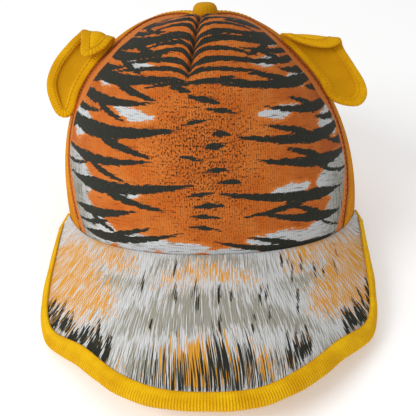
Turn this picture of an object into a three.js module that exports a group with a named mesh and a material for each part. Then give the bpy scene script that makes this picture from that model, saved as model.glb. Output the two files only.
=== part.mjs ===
// A foam-fronted trucker hat with animal ears, in millimetres, +Z up, the peak towards -Y.
// The hat is shaped in its own upright frame: the peak joins the crown at height 0 at the
// sides, and azimuth 0 is the front. It is then leant back until it rests on the peak's two
// sides and the back of its rim, as a hat does when it is put down.
import * as THREE from 'three';

// Crown
const crownHalfWidth = { left: 87, right: 90.8 };
const crownFrontReach = 94.5;
const crownBackReach = 96.5;
const crownHeight = 109.5;
const rimRiseAtFront = 14;
const browBulge = 11.5;
const browShape = 3.1;
const templeBulge = 1.6;
const frontSquareness = 2.5;
const sideSquareness = { left: 2.42, right: 2.1 };
const backSquareness = 2.2;
const buttonSetback = 17;
const buttonShift = 3.4;
const crownLean = -4.7;
const skirtDepth = 3.5;

// Walls, pieces and the clearance between them
const foamWall = 3;
const meshWall = 1.2;
const tape = 1.1;
const gap = 0.3;

// Panels meet at these azimuths, in degrees, at the rim, at a bend above it and at the button
const frontSeam = { atRim: 58, atBend: 78, atTop: 126 };
const sideSeam = { atRim: 119, atBend: 129, atTop: 137 };
const backSeam = { atRim: 180, atBend: 180, atTop: 180 };
const seamBend = 0.55;
const seamSweep = 1.6;
const panelTop = 0.98;
const crownRows = 13;

// Dart that shapes the top of the front panel
const dart = { start: 0.52, footAzimuth: -8, depth: 1.6, halfWidth: 2.4 };

// Button
const buttonRadius = 7.2;
const buttonHeight = 6.2;
const buttonStem = { radius: 2, depth: 3.6 };
const buttonTilt = 8;
const buttonLift = 0.9;

// Half-moon opening and strap at the back
const arch = { halfAngle: 26, height: 50, tapeWidth: 8 };
const strap = { bottom: -2.5, top: 15.5, wall: 1.4 };

// Peak
const peakPitch = 28;
const peakEnd = 75;
const peakWall = 2.6;
const bindingWidth = { front: 5, side: 2.2 };
const bindingTurn = 2.3;
const peakStations = 44;
const peakOutline = [
  { azimuth: -peakEnd, side: -90.3, front: 30 },
  { azimuth: -67, side: -92, front: 50 },
  { azimuth: -58, side: -93.4, front: 78 },
  { azimuth: -48, side: -87.7, front: 106.2 },
  { azimuth: -38, side: -68, front: 129 },
  { azimuth: -27, side: -46.5, front: 151 },
  { azimuth: -14, side: -24, front: 163.5 },
  { azimuth: 0, side: 0, front: 167 },
  { azimuth: 14, side: 24, front: 163.5 },
  { azimuth: 27, side: 46.5, front: 150 },
  { azimuth: 38, side: 68, front: 129 },
  { azimuth: 48, side: 86.5, front: 107 },
  { azimuth: 58, side: 91.6, front: 78 },
  { azimuth: 67, side: 92, front: 49 },
  { azimuth: peakEnd, side: 92.3, front: 29 },
];

// Rim band
const bandHeight = 26;
const foldHeight = 7;

// Ears. Each is a flap sewn along the front seam: along is measured up the seam from its
// lower end, out away from the crown. Its top is folded forward over a tilted line.
const ears = [
  {
    name: 'ear_left', side: -1, startRise: 0.314, lift: 13.5, sweepBack: 10.4,
    fold: { atCrown: 48, atEdge: 47.6, radius: 3.2 },
    outline: [
      { along: 66, out: 7 }, { along: 60.5, out: 11.6 }, { along: 55, out: 15.6 },
      { along: 49, out: 19 }, { along: 41, out: 19.6 }, { along: 30, out: 19.6 },
      { along: 17, out: 17.3 }, { along: 8, out: 12 }, { along: 2.7, out: 6.5 },
    ],
  },
  {
    name: 'ear_right', side: 1, startRise: 0.387, lift: -1, sweepBack: -6,
    fold: { atCrown: 44.4, atEdge: 42.4, radius: 3.2 },
    outline: [
      { along: 55.6, out: 8 }, { along: 55, out: 20.5 }, { along: 48, out: 29.5 },
      { along: 38.5, out: 27.5 }, { along: 26.5, out: 25.2 }, { along: 14.7, out: 23.4 },
      { along: 7, out: 20 }, { along: 1.5, out: 13 },
    ],
  },
];
const earWall = 2;
const earBorder = { width: 4.6, thickness: 3.8 };
const earHollow = 2;
const earOffset = 0.7;

const restTilt = 9.1;

const radians = THREE.MathUtils.degToRad;
const mix = THREE.MathUtils.lerp;
const smooth = THREE.MathUtils.smoothstep;

// Half width of the crown on the side that a distance from the middle is on
function halfWidth(aside) {
  return aside < 0 ? crownHalfWidth.left : crownHalfWidth.right;
}

// Outer surface of the crown, from its named sizes. rise runs from 0 at the joint with the
// peak to 1 at the button, and from 0 to -1 down the short skirt below the joint.
function crownPoint(azimuth, rise) {
  const turn = radians(azimuth);
  const facing = Math.cos(turn);
  const aside = Math.sin(turn);
  const front = facing > 0 ? facing * facing : 0;
  const back = facing < 0 ? facing * facing : 0;
  const side = 1 - front - back;
  const sideways = aside < 0 ? sideSquareness.left : sideSquareness.right;
  const squareness = front * frontSquareness + side * sideways + back * backSquareness;
  const climb = Math.max(rise, 0);
  const quarter = climb * Math.PI / 2;
  const spread = Math.max(Math.cos(quarter), 0) ** (2 / squareness);
  const base = rimRiseAtFront * front;
  const bulge = front * browBulge + side * templeBulge;
  const height = (crownHeight - base) * Math.sin(quarter) ** (2 / squareness)
    + bulge * Math.sin(Math.PI * climb ** browShape) ** 2;
  const reach = facing > 0 ? crownFrontReach : crownBackReach;
  return new THREE.Vector3(
    halfWidth(aside) * aside * spread + buttonShift * (1 - spread)
      + crownLean * height / crownHeight,
    -reach * facing * spread + buttonSetback * (1 - spread),
    base + height + skirtDepth * Math.min(rise, 0),
  );
}

function crownNormal(azimuth, rise) {
  const step = 0.004;
  const low = Math.min(rise, 1 - 2 * step);
  const up = crownPoint(azimuth, low + step).sub(crownPoint(azimuth, low - step));
  const round = crownPoint(azimuth + 1, low).sub(crownPoint(azimuth - 1, low));
  return round.cross(up).normalize();
}

function onCrown(azimuth, rise, depth) {
  return crownPoint(azimuth, rise).addScaledVector(crownNormal(azimuth, rise), -depth);
}

function seamAzimuth(seam, rise) {
  const climb = Math.min(Math.max(rise, 0) / seamBend, 1);
  const low = mix(seam.atRim, seam.atBend, Math.sin(climb * Math.PI / 2));
  return mix(low, seam.atTop, smooth(rise, seamBend, 1) ** seamSweep);
}

// The azimuth that a distance along the crown's girth spans at a given height
function girthAngle(azimuth, rise, distance) {
  const perDegree = crownPoint(azimuth + 0.5, rise).distanceTo(crownPoint(azimuth - 0.5, rise));
  return distance / perDegree;
}

// The rise at which the crown's surface reaches a height above the joint
function riseAtHeight(azimuth, height) {
  let low = -1;
  let high = 0.9;
  for (let step = 0; step < 30; step += 1) {
    const middle = (low + high) / 2;
    if (crownPoint(azimuth, middle).z < height) low = middle;
    else high = middle;
  }
  return low;
}

// Closed body from rings of points: each ring is a closed section, or the rings close too
function sweptBody(rings, closed) {
  const count = rings[0].length;
  const positions = rings.flat().flatMap((point) => point.toArray());
  const index = [];
  const spans = closed ? rings.length : rings.length - 1;
  for (let ring = 0; ring < spans; ring += 1) {
    const next = (ring + 1) % rings.length;
    for (let side = 0; side < count; side += 1) {
      const after = (side + 1) % count;
      const a = ring * count + side;
      const b = ring * count + after;
      const c = next * count + after;
      const d = next * count + side;
      index.push(a, b, c, a, c, d);
    }
  }
  return { positions, index, count };
}

function facingOut(positions, index) {
  let volume = 0;
  const corner = (entry) => new THREE.Vector3().fromArray(positions, 3 * index[entry]);
  for (let entry = 0; entry < index.length; entry += 3) {
    volume += corner(entry).dot(corner(entry + 1).cross(corner(entry + 2)));
  }
  const order = volume > 0 ? index : index.slice().reverse();
  const geometry = new THREE.BufferGeometry();
  geometry.setAttribute('position', new THREE.Float32BufferAttribute(positions, 3));
  geometry.setIndex(order);
  geometry.computeVertexNormals();
  return geometry;
}

// A section carried along a path, with flat ends where the path is open
function sweep(rings, closed, section) {
  const body = sweptBody(rings, closed);
  if (!closed) {
    const cap = THREE.ShapeUtils.triangulateShape(section, []);
    const last = (rings.length - 1) * body.count;
    for (const [a, b, c] of cap) {
      const clockwise = THREE.ShapeUtils.isClockWise(section);
      const [p, q, r] = clockwise ? [a, b, c] : [a, c, b];
      body.index.push(p, q, r, last + p, last + r, last + q);
    }
  }
  return facingOut(body.positions, body.index);
}

// A sheet with thickness: a grid of outer points backed by a grid of inner points
function shell(columns, rows, pointAt) {
  const rings = [];
  for (let column = 0; column <= columns; column += 1) {
    const outer = [];
    const inner = [];
    for (let row = 0; row <= rows; row += 1) {
      outer.push(pointAt(column / columns, row / rows, 0));
      inner.unshift(pointAt(column / columns, row / rows, 1));
    }
    rings.push([...outer, ...inner]);
  }
  const { positions, index, count } = sweptBody(rings, false);
  const last = columns * count;
  for (let row = 0; row < rows; row += 1) {
    const under = count - 1 - row;
    index.push(row, under, row + 1, row + 1, under, under - 1);
    index.push(last + row, last + row + 1, last + under);
    index.push(last + row + 1, last + under - 1, last + under);
  }
  return facingOut(positions, index);
}

function finish(color, roughness) {
  return new THREE.MeshStandardMaterial({ color, roughness, metalness: 0 });
}

const printedFoam = finish(0xd07a35, 0.9);
const printedPeak = finish(0xd9d5c8, 0.9);
const yellowMesh = finish(0xc98c10, 0.7);
const yellowCloth = finish(0xe8ae12, 0.85);
const yellowPlastic = finish(0xe0a010, 0.45);

const hat = new THREE.Group();

function addPiece(name, geometry, material) {
  const piece = new THREE.Mesh(geometry, material);
  piece.name = name;
  hat.add(piece);
}

// Depth of the dart's groove below the front panel's surface
function dartDepth(azimuth, rise) {
  const left = Math.max((1 - rise) / (1 - dart.start), 0);
  const away = (azimuth - dart.footAzimuth * left) / girthAngle(0, rise, 1);
  const depth = dart.depth * smooth(rise, dart.start, dart.start + 0.12);
  return depth * Math.exp(-((away / dart.halfWidth) ** 2));
}

function frontPanel() {
  const columns = 26;
  return shell(columns, crownRows, (across, up, face) => {
    const rise = up === 0 ? -1 : panelTop * (up * crownRows - 1) / (crownRows - 1);
    const seam = seamAzimuth(frontSeam, rise);
    const edge = seam - girthAngle(seam, rise, gap / 2);
    const turn = 2 * across - 1;
    const drift = dart.footAzimuth * Math.max((1 - rise) / (1 - dart.start), 0);
    const lean = rise > dart.start - 0.1 ? drift * (1 - Math.abs(turn)) : 0;
    const azimuth = edge * Math.sign(turn) * Math.abs(turn) ** 1.25 + lean;
    const groove = dartDepth(azimuth, rise);
    return onCrown(azimuth, rise, groove + face * foamWall);
  });
}

// Height of the opening's edge above the joint, or the rim's where there is no opening
function archHeight(azimuth) {
  const off = Math.abs(180 - azimuth) / arch.halfAngle;
  return off < 1 ? arch.height * Math.sqrt(1 - off ** 2) - skirtDepth : -skirtDepth;
}

function evenShares(count) {
  return Array.from({ length: count + 1 }, (_, step) => step / count);
}

// Columns of a back panel, close together where the opening's edge is steep
function archShares() {
  const start = 1 - arch.halfAngle / (backSeam.atRim - sideSeam.atRim);
  const beside = evenShares(5).map((share) => share * start);
  const over = evenShares(9).map((share) => 1 - (1 - start) * Math.cos(share * Math.PI / 2));
  return [...beside, ...over.slice(1)];
}

// A mesh panel between two seams, with its lower edge at the rim or round the opening
function meshPanel(side, near, far, columns) {
  return shell(columns.length - 1, crownRows, (across, up, face) => {
    const aside = columns[Math.round(across * (columns.length - 1))];
    const azimuthAt = (rise) => mix(seamAzimuth(near, rise), seamAzimuth(far, rise), aside);
    let low = -1;
    let high = 0.9;
    for (let step = 0; step < 30; step += 1) {
      const middle = (low + high) / 2;
      const azimuth = azimuthAt(middle);
      if (crownPoint(azimuth, middle).z < archHeight(azimuth)) low = middle;
      else high = middle;
    }
    const firstStep = Math.max(0, low + 0.02);
    const share = (up * crownRows - 1) / (crownRows - 1);
    const rise = up === 0 ? low : mix(firstStep, panelTop, share);
    const inset = girthAngle(azimuthAt(rise), rise, gap / 2) * (1 - 2 * aside);
    return onCrown(side * (azimuthAt(rise) + inset), rise, face * meshWall);
  });
}

// Button: a domed cap over the hole where the panels meet, with a stem down through it
function button() {
  const { radius, depth } = buttonStem;
  const profile = [[0, -depth], [radius, -depth], [radius, 0.1], [buttonRadius, 0.1]];
  for (const share of evenShares(6).slice(1, -1)) {
    const turn = share * Math.PI / 2;
    profile.push([buttonRadius * Math.cos(turn), buttonHeight * Math.sin(turn)]);
  }
  profile.push([0, buttonHeight]);
  const cap = new THREE.LatheGeometry(profile.map(([r, z]) => new THREE.Vector2(r, z)), 20);
  const seat = crownPoint(0, 1);
  cap.rotateX(Math.PI / 2 - radians(buttonTilt));
  return cap.translate(seat.x, seat.y, seat.z + buttonLift);
}

// Top surface of the peak, arched so that its rear edge follows the crown's joint
function peakHeight(x, y) {
  const slope = Math.tan(radians(peakPitch));
  const beside = THREE.MathUtils.clamp(-y / crownFrontReach, 0, 1);
  const arching = (rimRiseAtFront + crownFrontReach * slope / (1 + beside))
    / halfWidth(x) ** 2;
  return rimRiseAtFront - (-y - crownFrontReach) * slope - arching * x * x;
}

function peakNormal(x, y) {
  const step = 0.5;
  const dx = (peakHeight(x + step, y) - peakHeight(x - step, y)) / (2 * step);
  const dy = (peakHeight(x, y + step) - peakHeight(x, y - step)) / (2 * step);
  return new THREE.Vector3(-dx, -dy, 1).normalize();
}

// The peak's outline as a smooth curve: across runs from 0 at its left end to 1 at its right
const peakLine = new THREE.CatmullRomCurve3(
  peakOutline.map((row) => new THREE.Vector3(row.side, -row.front, 0)),
);

function outlinePoint(across) {
  return peakLine.getPoint(across);
}

function jointAzimuth(across) {
  const place = across * (peakOutline.length - 1);
  const row = Math.min(Math.floor(place), peakOutline.length - 2);
  return mix(peakOutline[row].azimuth, peakOutline[row + 1].azimuth, place - row);
}

// Level direction out of the outline
function outwardAt(across) {
  const ahead = outlinePoint(Math.min(across + 0.005, 1));
  const behind = outlinePoint(Math.max(across - 0.005, 0));
  const along = ahead.sub(behind).normalize();
  return new THREE.Vector3(along.y, -along.x, 0);
}

// The peak and its binding thin out towards their two rear ends
function endTaper(y) {
  return mix(1, 0.5, smooth(y, -72, -30));
}

// Edge of the peak's stiff board, inside the binding
function boardEdge(across) {
  const outline = outlinePoint(across);
  return outline.addScaledVector(outwardAt(across), -bindingTurn * endTaper(outline.y));
}

function onPeak(x, y, depth) {
  const normal = peakNormal(x, y);
  return new THREE.Vector3(x, y, peakHeight(x, y)).addScaledVector(normal, -depth);
}

function peak() {
  return shell(peakStations, 6, (across, outward, face) => {
    const azimuth = jointAzimuth(across);
    const away = crownNormal(azimuth, 0).setZ(0).normalize();
    const joint = crownPoint(azimuth, 0);
    const lean = peakNormal(joint.x, joint.y).dot(away) * peakWall * endTaper(joint.y);
    joint.addScaledVector(away, gap + face * lean).setZ(0);
    const flat = joint.lerp(boardEdge(across), outward);
    return onPeak(flat.x, flat.y, face * peakWall * endTaper(flat.y));
  });
}

// Width of the binding on the peak: wide in front, narrow along the two sides
function bindingReach(edge) {
  return mix(bindingWidth.side, bindingWidth.front, smooth(-edge.y, 85, 132));
}

// How far a strip can reach in from the board's edge, at a depth, before it meets the crown
function roomInside(edge, inward, depth) {
  const clearance = 1.2;
  let room = bindingReach(edge);
  for (let step = 0; step < 36; step += 1) {
    const flat = edge.clone().addScaledVector(inward, room);
    const inner = onPeak(flat.x, flat.y, depth);
    const ratio = Math.hypot(inner.x / halfWidth(inner.x), inner.y / crownFrontReach);
    if ((ratio - 1) * halfWidth(inner.x) > clearance) break;
    room -= 0.25;
  }
  return room;
}

// Section of the peak's padded binding. out is measured from the board's edge, and clear
// from the board's upper face, or from its lower one where under is true.
function bindingSection(over, below, taper) {
  const pad = gap + 1.5 * taper;
  const rim = gap + 0.7 * taper;
  const turn = bindingTurn * taper;
  return [
    { out: -over, clear: gap }, { out: -over, clear: rim }, { out: -0.65 * over, clear: pad },
    { out: -0.2 * over, clear: pad }, { out: 0.6 * turn, clear: rim },
    { out: turn, clear: -peakWall * taper / 2 },
    { out: 0.6 * turn, clear: rim, under: true }, { out: -0.2 * below, clear: pad, under: true },
    { out: -0.65 * below, clear: pad, under: true }, { out: -below, clear: rim, under: true },
    { out: -below, clear: gap, under: true }, { out: gap, clear: gap, under: true },
    { out: gap, clear: gap },
  ];
}

function peakBinding() {
  const rings = evenShares(peakStations).map((across) => {
    const edge = boardEdge(across);
    const outward = outwardAt(across);
    const inward = outward.clone().negate();
    const taper = endTaper(edge.y);
    const over = roomInside(edge, inward, 0);
    const below = roomInside(edge, inward, peakWall * taper + gap + 1.5 * taper);
    return bindingSection(over, below, taper).map((corner) => {
      const flat = edge.clone().addScaledVector(outward, corner.out);
      const wall = peakWall * endTaper(flat.y);
      return onPeak(flat.x, flat.y, corner.under ? wall + corner.clear : -corner.clear);
    });
  });
  const flatSection = bindingSection(bindingWidth.side, bindingWidth.side, 1).map((corner) => (
    new THREE.Vector2(corner.out, corner.under ? -peakWall - corner.clear : corner.clear)));
  return sweep(rings, false, flatSection);
}

// Rim band: lies inside the crown's lower edge and turns under it. Behind the peak it also
// turns up over the mesh.
const bandEnd = 180 - arch.halfAngle - 5.6;
const turnUnder = { from: 96.5, out: 99, up: 103 };

function bandSection(inside, outside, foldTop) {
  const foot = -skirtDepth - gap;
  return [
    [outside, foot], [outside, foldTop], [outside + tape, foldTop], [outside + tape, foot - tape],
    [-inside - tape, foot - tape], [-inside - tape, bandHeight / 2], [-inside - tape, bandHeight],
    [-inside, bandHeight], [-inside, bandHeight / 2], [-inside, foot],
  ].map(([out, up]) => new THREE.Vector2(out, up));
}

// Point beside the crown's lower wall, out from its surface and up from the joint
function besideRim(azimuth, out, up) {
  const joint = crownPoint(azimuth, 0);
  if (up > 0) return onCrown(azimuth, riseAtHeight(azimuth, joint.z + up), -out);
  const away = crownNormal(azimuth, 0).setZ(0).normalize();
  return joint.addScaledVector(away, out).setZ(joint.z + up);
}

function rimBand() {
  const { from, out, up } = turnUnder;
  const front = evenShares(15).map((share) => mix(0, from, share));
  const back = evenShares(13).map((share) => mix(up, bandEnd, share));
  const half = [...front, out, ...back];
  const azimuths = [...half.slice(1).reverse().map((azimuth) => -azimuth), ...half];
  const panelEdge = seamAzimuth(frontSeam, riseAtHeight(frontSeam.atTop, bandHeight + 2));
  const rings = azimuths.map((azimuth) => {
    const away = Math.abs(azimuth);
    const onMesh = smooth(away, panelEdge + 1, panelEdge + 8);
    const inside = mix(foamWall + 0.3, meshWall, onMesh) + gap;
    const outside = mix(-tape - gap, gap, smooth(away, from, out));
    const foldTop = mix(-skirtDepth - gap / 2, foldHeight, smooth(away, out, up));
    return bandSection(inside, outside, foldTop)
      .map((corner) => besideRim(azimuth, corner.x, corner.y));
  });
  return sweep(rings, false, bandSection(meshWall, gap, foldHeight));
}

// Place on the edge of the opening at the back, from one foot over its top to the other
function archPlace(share) {
  const turn = share * Math.PI;
  const azimuth = 180 - arch.halfAngle * Math.cos(turn);
  return { azimuth, rise: riseAtHeight(azimuth, arch.height * Math.sin(turn) - skirtDepth) };
}

// Tape folded over that edge
function openingBinding() {
  const over = gap + 0.35;
  const under = -meshWall - over;
  const web = gap + 0.3;
  const section = [
    [web, over], [-arch.tapeWidth, over], [-arch.tapeWidth, over + tape], [web + tape, over + tape],
    [web + tape, under - tape], [-arch.tapeWidth, under - tape], [-arch.tapeWidth, under],
    [web, under],
  ].map(([into, up]) => new THREE.Vector2(into, up));
  const rings = evenShares(26).map((share) => {
    const here = archPlace(share);
    const before = archPlace(Math.max(share - 0.02, 0));
    const after = archPlace(Math.min(share + 0.02, 1));
    const along = crownPoint(after.azimuth, after.rise)
      .sub(crownPoint(before.azimuth, before.rise));
    const normal = crownNormal(here.azimuth, here.rise);
    const into = along.cross(normal).normalize();
    return section.map((corner) => {
      const bend = corner.x ** 2 / (2 * crownBackReach);
      return crownPoint(here.azimuth, here.rise)
        .addScaledVector(into, corner.x)
        .addScaledVector(normal, corner.y - bend);
    });
  });
  return sweep(rings, false, section);
}

// Strap that closes the opening, its ends lying inside the rim band's
function snapStrap() {
  const half = arch.halfAngle + 10;
  const depth = meshWall + gap + tape + 1.4;
  return shell(22, 1, (across, up, face) => {
    const azimuth = 180 - half + 2 * half * across;
    const wall = onCrown(azimuth, 0, depth + face * strap.wall);
    return wall.setZ(mix(strap.bottom, strap.top, up));
  });
}

// Line of the front seam that an ear is sewn to, a little off the crown
function earSeam(ear) {
  const points = [];
  for (let rise = ear.startRise; rise < 0.92; rise += 0.03) {
    points.push(onCrown(ear.side * seamAzimuth(frontSeam, rise), rise, -earOffset));
  }
  return new THREE.CatmullRomCurve3(points);
}

// Place on an ear: along and out as in its table, ahead of the flap's middle surface
function earPlace(ear, seam, along, out, ahead) {
  const { atCrown, atEdge, radius } = ear.fold;
  const reach = Math.max(...ear.outline.map((row) => row.out));
  const foldAt = mix(atCrown, atEdge, Math.min(out / reach, 1));
  const past = Math.max(along - foldAt, 0);
  const turn = Math.min(past / radius, Math.PI);
  const hang = past - turn * radius;
  const level = Math.min(along, foldAt) + (radius - ahead) * Math.sin(turn) - hang;
  const forward = radius - (radius - ahead) * Math.cos(turn);
  const length = seam.getLength();
  const share = THREE.MathUtils.clamp(level / length, 0, 1);
  const tangent = seam.getTangentAt(share);
  const root = seam.getPointAt(share).addScaledVector(tangent, level - share * length);
  const lift = radians(ear.lift);
  const back = radians(ear.sweepBack);
  const outward = new THREE.Vector3(
    ear.side * Math.cos(lift) * Math.cos(back),
    Math.sin(back),
    Math.sin(lift) * Math.cos(back),
  );
  const facing = tangent.clone().cross(outward).normalize();
  if (facing.y > 0) facing.negate();
  return root.addScaledVector(outward, out).addScaledVector(facing, forward);
}

// Middle line of an ear's border: up its base on the seam and back round its free edge
function borderLine(ear) {
  const nearCrown = earBorder.width / 2;
  const top = ear.outline[0].along;
  const base = evenShares(4).map((share) => (
    new THREE.Vector3(mix(4, top - 4, share), nearCrown, 0)));
  const free = ear.outline.map((row) => new THREE.Vector3(row.along, row.out, 0));
  return new THREE.CatmullRomCurve3([...base, ...free], true, 'centripetal');
}

function earBorderPiece(ear) {
  const line = borderLine(ear);
  const seam = earSeam(ear);
  const round = evenShares(8).slice(1).map((share) => share * 2 * Math.PI);
  const rings = evenShares(58).slice(1).map((share) => {
    const middle = line.getPoint(share);
    const along = line.getTangent(share);
    return round.map((turn) => {
      const beside = Math.cos(turn) * earBorder.width / 2;
      const ahead = Math.sin(turn) * earBorder.thickness / 2;
      return earPlace(ear, seam, middle.x + along.y * beside, middle.y - along.x * beside, ahead);
    });
  });
  return sweep(rings, true);
}

// The free edge's distance out from the base, and how steeply it changes
function freeEdge(ear, along) {
  const line = borderLine(ear).getPoints(240);
  let out = 0;
  let slope = 0;
  line.forEach((point, place) => {
    const next = line[(place + 1) % line.length];
    const share = (along - point.x) / (next.x - point.x);
    if (share < 0 || share > 1 || !Number.isFinite(share)) return;
    const here = mix(point.y, next.y, share);
    if (here > out) {
      out = here;
      slope = (next.y - point.y) / (next.x - point.x);
    }
  });
  return { out, slope };
}

function earPanel(ear) {
  const seam = earSeam(ear);
  const inset = earBorder.width / 2 + gap + 0.8;
  const low = ear.outline.at(-1).along + inset + 1.6;
  const high = ear.outline[0].along - inset - 1.5;
  const flat = evenShares(5).map((share) => mix(low, ear.fold.atCrown - 3, share));
  const bent = evenShares(9).map((share) => mix(ear.fold.atCrown - 3, high, share)).slice(1);
  const columns = [...flat, ...bent];
  return shell(columns.length - 1, 6, (across, outward, face) => {
    const along = columns[Math.round(across * (columns.length - 1))];
    const edge = freeEdge(ear, along);
    const from = earBorder.width / 2 + inset;
    const to = edge.out - inset * Math.hypot(1, edge.slope);
    const sunk = Math.sin(Math.PI * across) ** 0.5 * Math.sin(Math.PI * outward);
    const ahead = (0.5 - face) * earWall - earHollow * sunk;
    return earPlace(ear, seam, along, mix(from, to, outward), ahead);
  });
}

hat.rotation.x = -radians(restTilt);
addPiece('front_panel', frontPanel(), printedFoam);
for (const [name, side] of [['left', -1], ['right', 1]]) {
  const sidePanel = meshPanel(side, frontSeam, sideSeam, evenShares(10));
  const backPanel = meshPanel(side, sideSeam, backSeam, archShares());
  addPiece(`mesh_side_${name}`, sidePanel, yellowMesh);
  addPiece(`mesh_back_${name}`, backPanel, yellowMesh);
}
addPiece('peak', peak(), printedPeak);
addPiece('peak_binding', peakBinding(), yellowCloth);
addPiece('rim_band', rimBand(), yellowCloth);
addPiece('opening_binding', openingBinding(), yellowCloth);
addPiece('snap_strap', snapStrap(), yellowPlastic);
addPiece('top_button', button(), yellowCloth);
for (const ear of ears) {
  addPiece(ear.name, earPanel(ear), yellowCloth);
  addPiece(`${ear.name}_border`, earBorderPiece(ear), yellowCloth);
}

// The hat's place: leant back, its lowest points on the ground, its middle over the origin
hat.updateMatrixWorld(true);
const extent = new THREE.Box3().setFromObject(hat, true);
const middle = extent.getCenter(new THREE.Vector3());
hat.position.set(-middle.x, -middle.y, -extent.min.z);

export default hat;
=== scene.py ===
import math

import bmesh
import bpy
import numpy as np
from mathutils import Matrix, Vector


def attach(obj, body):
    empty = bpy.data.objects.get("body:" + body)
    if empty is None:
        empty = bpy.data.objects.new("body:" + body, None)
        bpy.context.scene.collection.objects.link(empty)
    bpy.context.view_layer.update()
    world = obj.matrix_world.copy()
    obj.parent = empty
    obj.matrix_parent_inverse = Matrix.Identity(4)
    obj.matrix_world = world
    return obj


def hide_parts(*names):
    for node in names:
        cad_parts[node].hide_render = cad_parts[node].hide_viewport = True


# The hat's own sizes, in millimetres and degrees, as in its solids. It is shaped upright, with
# the peak towards -Y, and then leant back until it rests.
CROWN_HALF_WIDTH_LEFT = 87
CROWN_HALF_WIDTH_RIGHT = 90.8
CROWN_FRONT_REACH = 94.5
CROWN_BACK_REACH = 96.5
CROWN_HEIGHT = 109.5
RIM_RISE_AT_FRONT = 14
BROW_BULGE = 11.5
BROW_SHAPE = 3.1
TEMPLE_BULGE = 1.6
FRONT_SQUARENESS = 2.5
SIDE_SQUARENESS_LEFT = 2.42
SIDE_SQUARENESS_RIGHT = 2.1
BACK_SQUARENESS = 2.2
BUTTON_SETBACK = 17
BUTTON_SHIFT = 3.4
CROWN_LEAN = -4.7
SKIRT_DEPTH = 3.5
FOAM_WALL = 3
NET_WALL = 1.2
TAPE = 1.1
GAP = 0.3

# Azimuths of the seams at the rim, at the bend and at the top
FRONT_SEAM = (58, 78, 126)
SIDE_SEAM = (119, 129, 137)
BACK_SEAM = (180, 180, 180)
SEAM_BEND = 0.55
SEAM_SWEEP = 1.6
PANEL_TOP = 0.98

DART_START = 0.52
DART_FOOT_AZIMUTH = -8
DART_DEPTH = 1.6
DART_HALF_WIDTH = 2.4

BUTTON_RADIUS = 7.2
BUTTON_HEIGHT = 6.2
BUTTON_TILT = 8
BUTTON_LIFT = 0.9

ARCH_HALF_ANGLE = 26
ARCH_HEIGHT = 50
ARCH_TAPE = 8
STRAP_BOTTOM = -2.5
STRAP_TOP = 15.5
STRAP_WALL = 1.4

PEAK_PITCH = 28
PEAK_END = 75
PEAK_WALL = 2.6
BINDING_FRONT = 5
BINDING_SIDE = 2.2
BINDING_TURN = 2.3
BINDING_PAD = 1.5
BINDING_RIM = 0.7
BINDING_RIB = 1.5

# Columns: azimuth of the joint, distance to the side, distance to the front
PEAK_OUTLINE = (
    (-PEAK_END, -90.3, 30), (-67, -92, 50), (-58, -93.4, 78), (-48, -87.7, 106.2),
    (-38, -68, 129), (-27, -46.5, 151), (-14, -24, 163.5), (0, 0, 167), (14, 24, 163.5),
    (27, 46.5, 150), (38, 68, 129), (48, 86.5, 107), (58, 91.6, 78), (67, 92, 49),
    (PEAK_END, 92.3, 29),
)

BAND_HEIGHT = 26
FOLD_HEIGHT = 7

# Columns of an ear's outline: distance along the seam from its lower end, distance out
EARS = (
    {
        "name": "ear_left", "side": -1, "start": 0.314, "lift": 13.5, "sweep": 10.4,
        "fold": (48, 47.6, 3.2),
        "outline": (
            (66, 7), (60.5, 11.6), (55, 15.6), (49, 19), (41, 19.6), (30, 19.6), (17, 17.3),
            (8, 12), (2.7, 6.5),
        ),
    },
    {
        "name": "ear_right", "side": 1, "start": 0.387, "lift": -1, "sweep": -6,
        "fold": (44.4, 42.4, 3.2),
        "outline": (
            (55.6, 8), (55, 20.5), (48, 29.5), (38.5, 27.5), (26.5, 25.2), (14.7, 23.4),
            (7, 20), (1.5, 13),
        ),
    },
)
EAR_BORDER_WIDTH = 4.6
EAR_BORDER_THICKNESS = 3.8
EAR_WALL = 2
EAR_HOLLOW = 2
EAR_OFFSET = 0.7

REST_TILT = 9.1
HAT_PLACE = np.array([0.4926, 34.7312, 18.0229])

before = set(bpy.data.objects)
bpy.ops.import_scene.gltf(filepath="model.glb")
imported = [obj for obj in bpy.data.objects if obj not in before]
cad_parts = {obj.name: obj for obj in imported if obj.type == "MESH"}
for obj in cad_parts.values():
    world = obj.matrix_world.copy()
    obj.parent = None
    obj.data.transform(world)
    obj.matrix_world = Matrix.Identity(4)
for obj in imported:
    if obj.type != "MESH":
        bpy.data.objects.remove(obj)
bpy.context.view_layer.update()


# The hat's surfaces

def mix(a, b, share):
    return a + (b - a) * share


def smooth(value, low, high):
    share = np.clip((np.asarray(value, float) - low) / (high - low), 0, 1)
    return share * share * (3 - 2 * share)


def bell(value, width):
    return np.exp(-((value / width) ** 2))


def unit(vectors):
    return vectors / np.maximum(np.linalg.norm(vectors, axis=-1, keepdims=True), 1e-9)


def lean_back(points, degrees):
    tilt = math.radians(degrees)
    x, y, z = np.moveaxis(np.asarray(points, float), -1, 0)
    return np.stack([
        x, y * math.cos(tilt) + z * math.sin(tilt), z * math.cos(tilt) - y * math.sin(tilt),
    ], -1)


def to_world(points):
    """Metres in the row's frame, from millimetres in the hat's upright frame."""
    return (lean_back(points, REST_TILT) + HAT_PLACE) * 0.001


def half_width(aside):
    """Half width of the crown on the side that a distance from the middle is on."""
    return np.where(np.asarray(aside) < 0, CROWN_HALF_WIDTH_LEFT, CROWN_HALF_WIDTH_RIGHT)


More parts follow.
